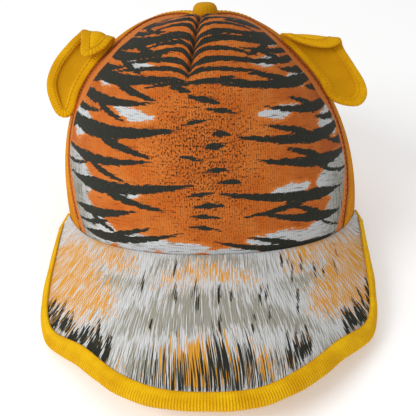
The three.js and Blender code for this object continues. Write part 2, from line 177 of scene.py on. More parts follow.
def crown_point(azimuth, rise):
    azimuth, rise = np.broadcast_arrays(np.asarray(azimuth, float), np.asarray(rise, float))
    facing = np.cos(np.radians(azimuth))
    aside = np.sin(np.radians(azimuth))
    front = np.where(facing > 0, facing**2, 0)
    back = np.where(facing < 0, facing**2, 0)
    side = 1 - front - back
    sideways = np.where(aside < 0, SIDE_SQUARENESS_LEFT, SIDE_SQUARENESS_RIGHT)
    squareness = front * FRONT_SQUARENESS + side * sideways + back * BACK_SQUARENESS
    climb = np.clip(rise, 0, 1)
    quarter = climb * math.pi / 2
    spread = np.clip(np.cos(quarter), 0, 1) ** (2 / squareness)
    base = RIM_RISE_AT_FRONT * front
    bulge = front * BROW_BULGE + side * TEMPLE_BULGE
    height = (CROWN_HEIGHT - base) * np.sin(quarter) ** (2 / squareness)
    height = height + bulge * np.sin(math.pi * climb**BROW_SHAPE) ** 2
    reach = np.where(facing > 0, CROWN_FRONT_REACH, CROWN_BACK_REACH)
    return np.stack([
        half_width(aside) * aside * spread + BUTTON_SHIFT * (1 - spread)
        + CROWN_LEAN * height / CROWN_HEIGHT,
        -reach * facing * spread + BUTTON_SETBACK * (1 - spread),
        base + height + SKIRT_DEPTH * np.minimum(rise, 0),
    ], -1)


def crown_normal(azimuth, rise):
    step = 0.004
    azimuth, rise = np.broadcast_arrays(np.asarray(azimuth, float), np.asarray(rise, float))
    low = np.minimum(rise, 1 - 2 * step)
    up = crown_point(azimuth, low + step) - crown_point(azimuth, low - step)
    around = crown_point(azimuth + 1, low) - crown_point(azimuth - 1, low)
    return unit(np.cross(around, up))


def rim_away(azimuth):
    """Level direction straight out from the rim."""
    return unit(crown_normal(azimuth, 0) * np.array([1, 1, 0]))


def on_crown(azimuth, rise, depth):
    depth = np.asarray(depth, float)[..., None]
    return crown_point(azimuth, rise) - crown_normal(azimuth, rise) * depth


def seam_azimuth(seam, rise):
    at_rim, at_bend, at_top = seam
    climb = np.clip(np.asarray(rise, float) / SEAM_BEND, 0, 1)
    low = mix(at_rim, at_bend, np.sin(climb * math.pi / 2))
    return mix(low, at_top, smooth(rise, SEAM_BEND, 1) ** SEAM_SWEEP)


def girth(azimuth, rise):
    """Millimetres along the crown's girth for each degree of azimuth."""
    ahead = crown_point(np.asarray(azimuth) + 0.5, rise)
    return np.linalg.norm(ahead - crown_point(np.asarray(azimuth) - 0.5, rise), axis=-1)


def arc_length(points):
    steps = np.linalg.norm(np.diff(points, axis=0), axis=-1)
    return np.concatenate([[0], np.cumsum(steps)])


def at_places(places, along, points):
    """Points of a line at some lengths along it."""
    return np.stack([np.interp(places, along, points[:, k]) for k in range(3)], -1)


def rise_at_height(azimuth, height):
    low = np.full(np.shape(azimuth), -1.0)
    high = np.full(np.shape(azimuth), 0.9)
    for _ in range(30):
        middle = (low + high) / 2
        below = crown_point(azimuth, middle)[..., 2] < height
        low = np.where(below, middle, low)
        high = np.where(below, high, middle)
    return low


def rises_up(azimuth, count, top=PANEL_TOP):
    """Rises from the skirt's edge, evenly spaced up the crown, and their heights along it."""
    fine = np.linspace(0, top, 400)
    along = arc_length(crown_point(azimuth, fine))
    even = np.linspace(0, along[-1], count)
    rises = np.concatenate([[-1], np.interp(even, along, fine)])
    return rises, np.concatenate([[-SKIRT_DEPTH], even])


def catmull_rom(points, shares, closed=False):
    """Centripetal curve through points, at shares from 0 to 1 of its spans."""
    points = np.asarray(points, float)
    count = len(points)
    place = shares * (count if closed else count - 1)
    span = np.floor(place).astype(int)
    if closed:
        before, start, end, after = (points[(span + k) % count] for k in (-1, 0, 1, 2))
    else:
        span = np.clip(span, 0, count - 2)
        lead = 2 * points[:1] - points[1:2]
        trail = 2 * points[-1:] - points[-2:-1]
        padded = np.concatenate([lead, points, trail])
        before, start, end, after = (padded[span + k] for k in range(4))
    share = (place - span).reshape(-1, *[1] * (points.ndim - 1))
    d0, d1, d2 = (np.maximum(np.linalg.norm(b - a, axis=-1, keepdims=True), 1e-6) ** 0.5
                  for a, b in ((before, start), (start, end), (end, after)))
    leave = ((start - before) / d0 - (end - before) / (d0 + d1) + (end - start) / d1) * d1
    arrive = ((end - start) / d1 - (after - start) / (d1 + d2) + (after - end) / d2) * d1
    square = (-3 * start + 3 * end - 2 * leave - arrive) * share**2
    cube = (2 * start - 2 * end + leave + arrive) * share**3
    return start + leave * share + square + cube


# Materials

def tint(red, green, blue):
    """Linear colour from a screen colour of 0 to 255."""
    shares = np.array([red, green, blue]) / 255
    linear = np.where(shares <= 0.04045, shares / 12.92, ((shares + 0.055) / 1.055) ** 2.4)
    return (*linear.tolist(), 1.0)


ORANGE = tint(200, 102, 34)
PALE_ORANGE = tint(214, 122, 50)
DEEP_ORANGE = tint(160, 74, 22)
COAT_WHITE = tint(206, 208, 210)
PEAK_WHITE = tint(214, 215, 216)
COAT_GREY = tint(138, 138, 134)
COAT_DARK = tint(46, 47, 40)
# Brown of the print's flecks, also used for the painted shade in the dart's crease
FLECK_AND_SHADE_BROWN = tint(62, 38, 20)
TAN = tint(226, 158, 50)
OLIVE_GREY = tint(150, 146, 128)
YELLOW = tint(232, 176, 4)
DEEP_YELLOW = tint(204, 144, 0)

CLOTH_RIB = 1.25
CLOTH_WANDER = 2.4
CLOTH_THREAD = 0.9
COARSE_GRAIN = 1800.0
FINE_GRAIN = 2600.0
HAIR_LIMIT = 0.80
HAIR_GAIN = 0.32
HAIR_EDGE = 0.045
MARK_EDGE = 0.18
FLOOR_GLOW = 0.24


class Value:
    """A number or colour that varies over a surface. Sums and products of it make nodes."""

    def __init__(self, finish, socket):
        self.finish = finish
        self.socket = socket

    def __add__(self, other):
        return self.finish.math("ADD", self, other)

    def __sub__(self, other):
        return self.finish.math("SUBTRACT", self, other)

    def __rsub__(self, other):
        return self.finish.math("SUBTRACT", other, self)

    def __mul__(self, other):
        return self.finish.math("MULTIPLY", self, other)


class Finish:
    """One material and the nodes that make it."""

    def __init__(self, name, roughness=0.85, sheen=0.0, specular=0.25):
        self.material = bpy.data.materials.new(name)
        self.material.use_nodes = True
        self.tree = self.material.node_tree
        self.shader = self.tree.nodes["Principled BSDF"]
        self.shader.inputs["Roughness"].default_value = roughness
        self.shader.inputs["Sheen Weight"].default_value = sheen
        self.shader.inputs["Sheen Roughness"].default_value = 0.5
        self.shader.inputs["Specular IOR Level"].default_value = specular

    def put(self, socket, value):
        if isinstance(value, Value):
            self.tree.links.new(value.socket, socket)
        else:
            socket.default_value = value

    def node(self, kind, inputs, result=0, **settings):
        node = self.tree.nodes.new(f"ShaderNode{kind}")
        for key, value in settings.items():
            setattr(node, key, value)
        for key, value in inputs.items():
            self.put(node.inputs[key], value)
        return Value(self, node.outputs[result])

    def math(self, operation, *values):
        return self.node("Math", dict(enumerate(values)), operation=operation)

    def stored(self, name):
        """A value stored on the piece's points."""
        return self.node("Attribute", {}, "Fac", attribute_name=name)

    def place(self):
        return self.node("TexCoord", {}, "Object")

    def vector(self, x, y, z=0.0):
        return self.node("CombineXYZ", {"X": x, "Y": y, "Z": z})

    def noise(self, place, scale, detail=2.0, roughness=0.5):
        inputs = {"Vector": place, "Scale": scale, "Detail": detail, "Roughness": roughness}
        return self.node("TexNoise", inputs, "Fac")

    def step(self, value, low, high):
        """0 below low and 1 above high, smooth between."""
        inputs = {"Value": value, "From Min": low, "From Max": high}
        return self.node("MapRange", inputs, interpolation_type="SMOOTHSTEP")

    def blend(self, share, first, second, blend_type="MIX"):
        inputs = {0: share, 6: first, 7: second}
        return self.node("Mix", inputs, 2, data_type="RGBA", blend_type=blend_type)

    def cloudy(self, scale, low, high, first, second, detail=4.0, roughness=0.6):
        """Two colours in soft clouds, in the row's metres."""
        cloud = self.noise(self.place(), scale, detail, roughness)
        return self.blend(self.step(cloud, low, high), first, second)

    def wave(self, place, pitch):
        """A smooth rib from 0 to 1, one for each pitch of place."""
        return self.math("COSINE", place * (2 * math.pi / pitch)) * 0.5 + 0.5

    def surface(self, colour, height, strength, distance):
        inputs = {"Height": height, "Strength": strength, "Distance": distance}
        self.put(self.shader.inputs["Base Color"], colour)
        self.put(self.shader.inputs["Normal"], self.node("Bump", inputs))
        return self


def woven_grain(finish, scale=FINE_GRAIN):
    """Fine irregular grain of a woven cloth, in the row's metres."""
    return finish.noise(finish.place(), scale, 3.0, 0.6)


class Print(Finish):
    """Printed cloth with fine upright ribs. Its hairs follow stored lines of flow."""

    def __init__(self, name, roughness):
        super().__init__(name, roughness, sheen=0.04, specular=0.12)
        self.across = self.stored("across")
        self.up = self.stored("up")
        wander = self.noise(self.vector(self.across * 0.06, self.up * 0.04), 1.0)
        self.ribs = self.wave(wander * CLOTH_WANDER + self.across, CLOTH_RIB)

    def patches(self, across, up, detail=3.0, roughness=0.65, seed=0.0):
        place = self.vector(self.across * across, self.up * up, seed)
        return self.noise(place, 1.0, detail, roughness)

    def streaks(self, along, across, detail, roughness, seed=0.0):
        """Noise drawn out along the flow."""
        flow_across = self.stored("flow_across") * across
        place = self.vector(flow_across, self.stored("flow_along") * along, seed)
        return self.noise(place, 1.0, detail, roughness)

    def hairs(self, amount, along=0.09, across=1.7, seed=0.0):
        """Fine printed hairs: 1 on a hair. amount goes from 0 to 1."""
        streaks = self.streaks(along, across, 2.0, 0.55, seed)
        return self.step(streaks - (amount * -HAIR_GAIN + HAIR_LIMIT), 0.0, HAIR_EDGE)

    def marked(self, depth, uneven, along=0.22, across=1.0):
        """Share of a mark, from how deep a point lies in it, its edge uneven by some mm."""
        edge = (self.streaks(along, across, 3.0, 0.6) - 0.5) * uneven
        return self.step(depth + edge, -MARK_EDGE, MARK_EDGE)

    def printed(self, colour, groove, strength, distance):
        """Ends the material: painted shade darkens the print between the ribs, by the share
        groove, and the ribs stand out.
        """
        # painted shade in the grooves between the ribs
        painted_shade = self.ribs * groove + (1 - groove)
        shaded = self.blend(1.0, colour, self.vector(painted_shade, painted_shade, painted_shade), "MULTIPLY")
        return self.surface(shaded, woven_grain(self) * 0.4 + self.ribs, strength, distance)


def printed_coat():
    """Crown: orange coat with dark stripes and white patches on ribbed cloth."""
    coat = Print("printed_coat", 0.9)
    white = coat.stored("white")
    grey = coat.stored("grey")
    ground = coat.blend(coat.step(coat.patches(0.05, 0.05), 0.35, 0.7), ORANGE, PALE_ORANGE)
    # Painted shade: the ground orange darkens towards both sides, the top and the right side.
    ground = coat.blend(coat.stored("painted_shade"), ground, DEEP_ORANGE)
    ground = coat.blend(coat.hairs(0.6, seed=3.0), ground, DEEP_ORANGE)
    limit = coat.stored("flecks") * -0.20 + 0.71
    fleck = coat.step(coat.patches(1.25, 0.75, 4.0, 0.7) - limit, 0.0, 0.03)
    ground = coat.blend(fleck, ground, FLECK_AND_SHADE_BROWN)
    pale = coat.blend(coat.hairs(0.7, seed=7.0), COAT_WHITE, COAT_GREY)
    pale = coat.blend(grey, pale, OLIVE_GREY)
    upright = coat.step(coat.patches(1.15, 0.1, seed=2.0), 0.51, 0.58)
    pale = coat.blend(upright * grey, pale, COAT_DARK)
    pale = coat.blend(coat.hairs(0.45, across=1.3, seed=11.0), pale, COAT_DARK)
    ink = coat.blend(coat.hairs(0.5, seed=5.0), COAT_DARK, FLECK_AND_SHADE_BROWN)
    ink = coat.blend(coat.step(coat.patches(1.6, 1.6, seed=6.0), 0.62, 0.72), ink, COAT_GREY)
    colour = coat.blend(coat.marked(white + 1.6, 7.0), ground, PALE_ORANGE)
    colour = coat.blend(coat.marked(white, 7.0), colour, pale)
    colour = coat.blend(coat.marked(coat.stored("stripe"), 3.4), colour, ink)
    colour = coat.blend(coat.stored("margin"), colour, PALE_ORANGE)
    # Painted shade: the dart's crease darkens towards brown
    colour = coat.blend(coat.stored("crease"), colour, FLECK_AND_SHADE_BROWN)
    return coat.printed(colour, 0.16, 0.55, 0.00022)


def printed_peak():
    """Peak: pale coat with tan patches, grey and dark hair on ribbed cloth."""
    coat = Print("printed_peak", 0.88)
    grey = coat.marked(coat.stored("grey"), 34.0, 0.06, 0.7)
    tan = coat.marked(coat.stored("tan"), 52.0, 0.13, 0.8)
    colour = coat.blend(coat.hairs(0.8, along=0.07), PEAK_WHITE, OLIVE_GREY)
    layers = (
        (grey * 0.85, OLIVE_GREY),
        (grey * coat.hairs(0.8, 0.06, 0.9, seed=13.0), PEAK_WHITE),
        (tan, TAN),
        (tan * coat.hairs(0.85, 0.1, seed=15.0), PEAK_WHITE),
        (coat.hairs(coat.stored("hair"), 0.045, 1.15, seed=4.0), COAT_DARK),
        (coat.hairs(coat.stored("lock") * 1.3, 0.04, 0.85, seed=21.0), TAN),
        (coat.hairs(coat.stored("tuft") * 1.3, 0.035, 1.15, seed=23.0), COAT_DARK),
    )
    for share, layer in layers:
        colour = coat.blend(share, colour, layer)
    ink = coat.blend(coat.hairs(0.55, along=0.06, seed=9.0), COAT_DARK, TAN)
    colour = coat.blend(coat.marked(coat.stored("stripe"), 9.0, 0.07, 0.9), colour, ink)
    return coat.printed(colour, 0.14, 0.45, 0.0002)


def ribbed_cloth(name, colour, deep, pitch=1.6, strength=0.6, folded=None, reach=None):
    """Cloth with cross ribs along a piece, and fine weave, darkened between the ribs as painted
    shade. reach names a share of the ribs and of that painted shade.
    """
    finish = Finish(name, sheen=0.04, specular=0.12)
    grain = woven_grain(finish, COARSE_GRAIN)
    ribs = finish.wave(finish.stored("rib"), pitch)
    # Painted shade in the grooves between the ribs
    groove_shade = (1.0 - ribs) * 0.35
    if reach:
        ribs = ribs * finish.stored(reach)
        groove_shade = groove_shade * (finish.stored(reach) * 2.2)
    base = finish.cloudy(60.0, 0.3, 0.75, colour, deep)
    if folded:
        base = finish.blend(finish.stored("folded"), base, folded)
    base = finish.blend(groove_shade, base, deep)
    base = finish.blend(finish.step(grain, 0.5, 0.75), base, deep)
    return finish.surface(base, grain * 0.7 + ribs, strength, 0.0003)


def plain_cloth(name, colour, deep):
    """Plain woven cloth: crossing threads as a fine grid."""
    finish = Finish(name, roughness=0.88, sheen=0.04, specular=0.12)
    warp, weft = (finish.wave(finish.stored(way), CLOTH_THREAD) for way in ("across", "up"))
    weave = (warp + weft) * 0.5
    base = finish.cloudy(45.0, 0.3, 0.8, colour, deep)
    return finish.surface(finish.blend(weave * 0.3, base, deep), weave, 0.35, 0.0002)


def foam_lining():
    """Bare inner face of the foam: fine open cells, painted darker at their middles as painted
    shade in their hollows.
    """
    finish = Finish("foam", roughness=0.95, specular=0.15)
    inputs = {"Vector": finish.place(), "Scale": 900.0}
    cells = finish.node("TexVoronoi", inputs, "Distance")
    pale, deep = tint(232, 226, 210), tint(214, 206, 188)
    base = finish.cloudy(30.0, 0.3, 0.8, pale, deep, 3.0, 0.5)
    # painted shade in the open cells
    base = finish.blend(finish.step(cells, 0.55, 0.1), base, tint(186, 176, 156))
    return finish.surface(base, cells, 0.4, 0.0002)


def plastic(name, roughness, specular, colour, deep, clouds, grain, strength):
    """Plain plastic. clouds gives their scale and upper limit, grain its scale and detail."""
    finish = Finish(name, roughness, specular=specular)
    base = finish.cloudy(clouds[0], 0.3, clouds[1], colour, deep, 3.0, 0.5)
    return finish.surface(base, finish.noise(finish.place(), *grain), strength, 0.0002)


def thread(name, colour, deep):
    """Twisted sewing thread."""
    finish = Finish(name, roughness=0.7, sheen=0.02, specular=0.15)
    twist = finish.noise(finish.place(), 3500.0)
    colour = finish.blend(finish.step(twist, 0.35, 0.65), colour, deep)
    return finish.surface(colour, twist, 0.4, 0.0001)


def floor_finish():
    finish = Finish("floor", roughness=0.75, specular=0.1)
    cloud = finish.noise(finish.place(), 3.0)
    colour = finish.blend(cloud, (0.93, 0.93, 0.93, 1), (0.95, 0.95, 0.95, 1))
    finish.put(finish.shader.inputs["Base Color"], colour)
    finish.shader.inputs["Emission Color"].default_value = (1, 1, 1, 1)
    finish.shader.inputs["Emission Strength"].default_value = FLOOR_GLOW
    return finish


finishes = {
    "coat": printed_coat(),
    "peak": printed_peak(),
    "ribbed": ribbed_cloth("ribbed_cloth", YELLOW, DEEP_YELLOW),
    "edge": ribbed_cloth("edge_cloth", tint(250, 200, 12), tint(216, 158, 0), BINDING_RIB, 0.9,
                         reach="outer"),
    "seam": ribbed_cloth("seam_cloth", ORANGE, DEEP_ORANGE, 1.1, 0.3),
    "button": ribbed_cloth("button_cloth", tint(214, 156, 10), tint(190, 134, 6), 1.1, 0.25),
    "ear": ribbed_cloth("ear_cloth", tint(206, 150, 4), tint(192, 134, 0), 1.2, 0.3, YELLOW),
    "under": plain_cloth("under_cloth", tint(226, 168, 22), tint(202, 146, 16)),
    "band": plain_cloth("band_cloth", tint(230, 172, 24), tint(204, 148, 16)),
    "foam": foam_lining(),
    "net": plastic("net", 0.7, 0.12, tint(222, 146, 0), tint(198, 120, 0), (35.0, 0.75),
                   (2400.0, 2.0), 0.25),
    "strap": plastic("strap_plastic", 0.42, 0.4, tint(226, 166, 22), tint(212, 150, 16),
                     (40.0, 0.8), (900.0, 3.0), 0.12),
    "thread": thread("thread", tint(246, 190, 30), tint(214, 150, 14)),
    "ear_thread": thread("ear_thread", tint(216, 156, 2), tint(196, 136, 0)),
    "dark_thread": thread("dark_thread", tint(196, 104, 40), tint(150, 74, 26)),
    "floor": floor_finish(),
}


# Meshes. Each piece takes its finish when it is made.

def turn_outward(mesh, weld):
    """Turn all faces outwards, after joining points nearer than weld, in metres."""
    work = bmesh.new()
    work.from_mesh(mesh)
    if weld:
        bmesh.ops.remove_doubles(work, verts=work.verts, dist=weld)
        bmesh.ops.dissolve_degenerate(work, edges=work.edges, dist=weld)
    bmesh.ops.recalc_face_normals(work, faces=work.faces)
    work.to_mesh(mesh)
    work.free()


def new_piece(name, points, faces, finish, node=None, weld=0):
    mesh = bpy.data.meshes.new(name)
    mesh.from_pydata(to_world(points).tolist(), [], faces)
    mesh.validate()
    mesh.polygons.foreach_set("use_smooth", [True] * len(mesh.polygons))
    mesh.update()
    turn_outward(mesh, weld)
    mesh.materials.append(finishes[finish].material)
    piece = bpy.data.objects.new(name, mesh)
    bpy.context.collection.objects.link(piece)
    if node:
        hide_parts(node)
    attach(piece, "root")
    return piece


def store(piece, name, value):
    layer = piece.data.attributes.new(name, "FLOAT", "POINT")
    layer.data.foreach_set("value", np.asarray(value, np.float32).ravel())


def grid_faces(columns, rows, start=0, wrap_columns=False, wrap_rows=False):
    """Quads of a grid of points, stored column by column."""
    column = np.arange(columns if wrap_columns else columns - 1)
    row = np.arange(rows if wrap_rows else rows - 1)
    c, r = (part.ravel() for part in np.meshgrid(column, row, indexing="ij"))
    next_c = (c + 1) % columns
    next_r = (r + 1) % rows
    quads = [c * rows + r, next_c * rows + r, next_c * rows + next_r, c * rows + next_r]
    return (np.stack(quads, -1) + start).tolist()


def copies(faces, count, size):
    """The same faces for each of many like bodies, of size points each."""
    return [[corner + k * size for corner in face] for k in range(count) for face in faces]


def shell_piece(name, outer, inner, slot, finish, node, lining=None, **values):
    """Outer and inner grid, closed round all four edges. Both hold the values."""
    columns, rows = outer.shape[:2]
    total = columns * rows
    faces = grid_faces(columns, rows)
    faces += [face[::-1] for face in grid_faces(columns, rows, total)]
    index = np.arange(total).reshape(columns, rows)
    loop = np.concatenate([index[:, 0], index[-1, 1:], index[-2::-1, -1], index[0, -2:0:-1]])
    after = np.roll(loop, -1)
    faces += np.stack([loop, loop + total, after + total, after], -1).tolist()
    piece = new_piece(name, np.stack([outer, inner]).reshape(-1, 3), faces, finish, node)
    for value_name, value in values.items():
        store(piece, value_name, [np.broadcast_to(value, (columns, rows))] * 2)
    if lining:
        one_side = (columns - 1) * (rows - 1)
        inside = np.zeros(len(piece.data.polygons), np.int32)
        inside[one_side:2 * one_side] = 1
        piece.data.materials.append(finishes[lining].material)
        piece.data.polygons.foreach_set("material_index", inside)


def sweep_piece(name, rings, slot, finish, node=None, closed=False, **values):
    """Rings of points, each one closed, joined along a path that closes too or has ends."""
    count, sides = rings.shape[:2]
    faces = grid_faces(count, sides, wrap_columns=closed, wrap_rows=True)
    points = rings.reshape(-1, 3)
    if not closed:
        points = np.concatenate([points, [rings[0].mean(0), rings[-1].mean(0)]])
        side = np.arange(sides)
        after = (side + 1) % sides
        last = (count - 1) * sides
        centre = np.full(sides, count * sides)
        faces += np.stack([after, side, centre], -1).tolist()
        faces += np.stack([last + side, last + after, centre + 1], -1).tolist()
    piece = new_piece(name, points, faces, finish, node)
    for value_name, value in values.items():
        spread = np.broadcast_to(value, (count, sides))
        ends = [] if closed else [spread[0, 0], spread[-1, 0]]
        store(piece, value_name, [*spread.ravel(), *ends])
    return piece


# Stitches: each one is a short thread lying on a surface. Columns: share along, thickness
STITCH_RINGS = ((0, 0.25), (0.12, 0.8), (0.5, 1), (0.88, 0.8), (1, 0.25))
STITCH_SIDES = 5
STITCH_HEIGHT = 0.45


def stitches(name, lines, pitch=3.0, length=2.2, radius=0.32, finish="thread"):
    """One piece of many stitches. Each line is (points, normals) along a seam."""
    share, size = np.array(STITCH_RINGS, float).T[..., None]
    turn = 2 * math.pi * np.arange(STITCH_SIDES)[:, None] / STITCH_SIDES
    bodies = []
    for line, normals in lines:
        along = arc_length(line)
        count = max(int(along[-1] / pitch), 1)
        starts = (np.arange(count) + 0.5 * (1 - length / pitch)) * along[-1] / count
        first = at_places(starts, along, line)[:, None]
        last = at_places(starts + length, along, line)[:, None]
        out = at_places(starts, along, normals)[:, None]
        beside = unit(np.cross(unit(last - first), out))
        middle = mix(first, last, share) + out * radius * STITCH_HEIGHT * size
        ring = radius * (beside * np.cos(turn) + out * np.sin(turn))
        bodies.append(middle[:, :, None] + size[..., None] * ring[:, None])
    bodies = np.concatenate(bodies)
    rings = len(STITCH_RINGS)
    total = rings * STITCH_SIDES
    faces = grid_faces(rings, STITCH_SIDES, wrap_rows=True)
    faces += [list(range(STITCH_SIDES))[::-1], list(range(total - STITCH_SIDES, total))]
    new_piece(name, bodies.reshape(-1, 3), copies(faces, len(bodies), total),
              finish)


# Printed marks. Each stroke is three points, the middle one its bend, with its width and the
# share of its length at which it is widest.
STROKE_POINTS = 13
STROKE_BLUNTNESS = 0.6
STROKE_REACH = 6
FAR_OUTSIDE = -20.0


def stroke_depth(across, up, strokes):
    """How far inside the nearest stroke each point lies, in mm; negative outside all."""
    place = np.stack([across, up], -1)
    best = np.full(across.shape, FAR_OUTSIDE)
    share = np.linspace(0, 1, STROKE_POINTS)
    pull = np.stack([(1 - share) ** 2, 2 * share * (1 - share), share**2], -1)
    for points, width, swell in strokes:
        line = pull @ np.array(points, float)
        taper = np.minimum(share / swell, (1 - share) / (1 - swell))
        half = width / 2 * taper**STROKE_BLUNTNESS
        reach = width + STROKE_REACH
        near = np.all((place > line.min(0) - reach) & (place < line.max(0) + reach), -1)
        if not near.any():
            continue
        inside = place[near]
        found = best[near]
        for start, end, h0, h1 in zip(line, line[1:], half, half[1:]):
            run = end - start
            along = np.clip((inside - start) @ run / max(run @ run, 1e-6), 0, 1)
            away = np.linalg.norm(inside - start - along[:, None] * run, axis=1)
            found = np.maximum(found, mix(h0, h1, along) - away)
        best[near] = found
    return best


# Coat stripes from each seam towards the middle. Columns: how near the middle they end, as a
# share of the way, and width
COAT_KINDS = ((0.07, 7.2), (0.54, 4.9), (0.26, 6.2), (0.68, 4.3))
COAT_PITCH = 6.8
COAT_TOP = 168
COAT_BROW = (84, 112)
COAT_DASHES = 14
COAT_ARCS = (92, 170, 6.3)
COAT_SEED = 21

# White patches of the coat on each side. Columns: share of the way out, height, length, tilt,
# width
COAT_WHITES = (
    (0.82, 9, 52, 3, 26), (0.46, 5, 46, 2, 13), (0.12, 2, 30, 0, 9), (0.80, 37, 44, 9, 17),
    (0.46, 33, 26, 7, 8), (0.84, 63, 36, 8, 16), (0.42, 74, 28, 5, 7), (0.74, 88, 32, 4, 11),
    (0.50, 101, 26, 3, 7), (0.72, 116, 24, 0, 6),
)


def slanted(across, up, length, tilt, width, sag):
    """Stroke about a middle point, tilted in degrees, with its middle raised by sag."""
    half = length / 2
    rise = half * math.tan(math.radians(tilt))
    points = (across - half, up - rise), (across, up + sag), (across + half, up + rise)
    return points, width, 0.5


def forked_stripe(side, row, height, start, jolt):
    """A stripe from a seam towards the middle, and every second one with a branch."""
    near, width = COAT_KINDS[row % len(COAT_KINDS)]
    brow = float(smooth(height, *COAT_BROW))
    near, width = near * mix(1, 0.35, brow), width * mix(1, 1.12, brow)
    tip = max(start * (near + 0.08 * jolt[0]), 2)
    height = height + 1.4 * jolt[1] + (3 if side < 0 else 0)
    sag = mix(-10, 5, height / COAT_TOP) + 2 * jolt[2]
    width = width * (1 + 0.2 * jolt[3])
    points = ((side * start, height), (side * mix(tip, start, 0.5), height + sag),
              (side * tip, height + 4 + 2.5 * jolt[4]))
    stripes = [(points, width, 0.42)]
    if row % 2 == 0:
        turn = math.copysign(1, jolt[5])
        root = [0.3 * a + 0.5 * b + 0.2 * c for a, b, c in zip(*points)]
        last = (side * (tip + 16), height + sag / 3 + 9 * turn)
        bend = ((root[0] + last[0]) / 2, (root[1] + last[1]) / 2 + 1.5 * turn)
        stripes.append(((root, bend, last), width * 0.62, 0.3))
    return stripes


def coat_strokes(rng, panel_width):
    """Dark stripes and the white patches between them, on a panel this wide at a height."""
    dark = []
    white = []
    for side in (-1, 1):
        for row, height in enumerate(np.arange(4, COAT_TOP, COAT_PITCH)):
            jolt = rng.uniform(-1, 1, 6)
            dark += forked_stripe(side, row, height, panel_width(height) + 7, jolt)
        for share, height, length, tilt, width in COAT_WHITES:
            jolt = rng.uniform(-1, 1, 3)
            across = side * (share * panel_width(height) + 3 * jolt[0])
            tilt = side * (tilt + 3 * jolt[2])
            white.append(slanted(across, height + 2 * jolt[1], length, tilt, width, -3))
    for height in np.arange(*COAT_ARCS):
        jolt = rng.uniform(-1, 1, 4)
        reach = mix(44, 30, float(smooth(height, 100, 160))) + 9 * jolt[0]
        dark.append(slanted(10 * jolt[1], height - 7, 2 * reach, 0, 4.1 + 0.7 * jolt[3],
                            14 + 2 * jolt[2]))
    for height in np.linspace(14, 92, COAT_DASHES):
        jolt = rng.uniform(-1, 1, 4)
        dark.append(slanted(13 * jolt[0], height, 14 + 5 * jolt[1], 14 * jolt[2],
                            3.2 + jolt[3], 1.5))
    return dark, white


# Front panel

PANEL_COLUMNS = 221
PANEL_ROWS = 190
MARGIN_WIDTH = 13
MARGIN_LOW = 8.5
DART_BLEND = 0.12
DART_STITCH = (1.3, 0.8)
PUCKER_PITCH = 8.5
PUCKER_DEPTH = 0.6
PUCKER_REACH = 8
SEAM_TUCK = (0.9, 1.8)
SEAM_ROW = (0.35, 4.2, 0.8)
BROW_TUCK = (0.7, 2.2)
FOAM_UNEVEN = 0.45


def panel_grid():
    """Azimuth and rise of the panel's points, and their places in mm across and up it."""
    rise, up = (row[None, :] for row in rises_up(0, PANEL_ROWS - 1))
    seam = seam_azimuth(FRONT_SEAM, rise)
    edge = seam - GAP / 2 / girth(seam, rise)
    azimuth = edge * np.linspace(-1, 1, PANEL_COLUMNS)[:, None]
    steps = np.linalg.norm(np.diff(crown_point(azimuth, rise), axis=0), axis=-1)
    across = np.concatenate([np.zeros((1, PANEL_ROWS)), np.cumsum(steps, 0)])
    across = across - across[PANEL_COLUMNS // 2]
    return azimuth, np.broadcast_to(rise, across.shape), across, np.broadcast_to(up, across.shape)


def panel_print(across, up, to_seam, deep, away):
    """The values that the print reads, painted shade among them. It dips into the dart, where
    cloth was taken in.
    """
    print_up = up + 8 * deep * np.exp(-np.abs(away) / 4.5)
    half_widths = np.abs(across[-1])

    def panel_width(height):
        return float(np.interp(height, up[0], half_widths))

    dark, white = coat_strokes(np.random.default_rng(COAT_SEED), panel_width)
    margin = mix(MARGIN_LOW, MARGIN_WIDTH, smooth(up, 58, 78))
    margin = margin + 1.2 * np.sin(print_up / 9) + 0.8 * np.sin(print_up / 3.7 + 1)
    centre = bell(across, 52) + 0.45 * bell(np.abs(across) - 78, 16)
    corner = smooth(np.abs(across), 62, 92) * (1 - smooth(up, 20, 62))
    # Painted shade: the orange darkens towards both sides and the top, and more towards the right
    # side.
    painted_shade = 0.3 * smooth(np.abs(across), 60, 105) + 0.25 * smooth(up, 130, 170)
    return {
        "across": across, "up": print_up, "flow_across": print_up, "flow_along": across,
        "stripe": stroke_depth(across, print_up, dark) - 2.2 * corner,
        "white": stroke_depth(across, print_up, white) + 9 * corner,
        "flecks": centre * (0.3 + 0.7 * bell(up - 54, 56)),
        # painted shade, darker still towards the right side
        "painted_shade": painted_shade + 0.35 * smooth(across, 20, 90),
        "grey": 0.85 * corner,
        "margin": 1 - smooth(to_seam, margin, margin + 0.9),
        # painted shade along the dart's crease
        "crease": 0.8 * deep * bell(away, 1.2),
    }


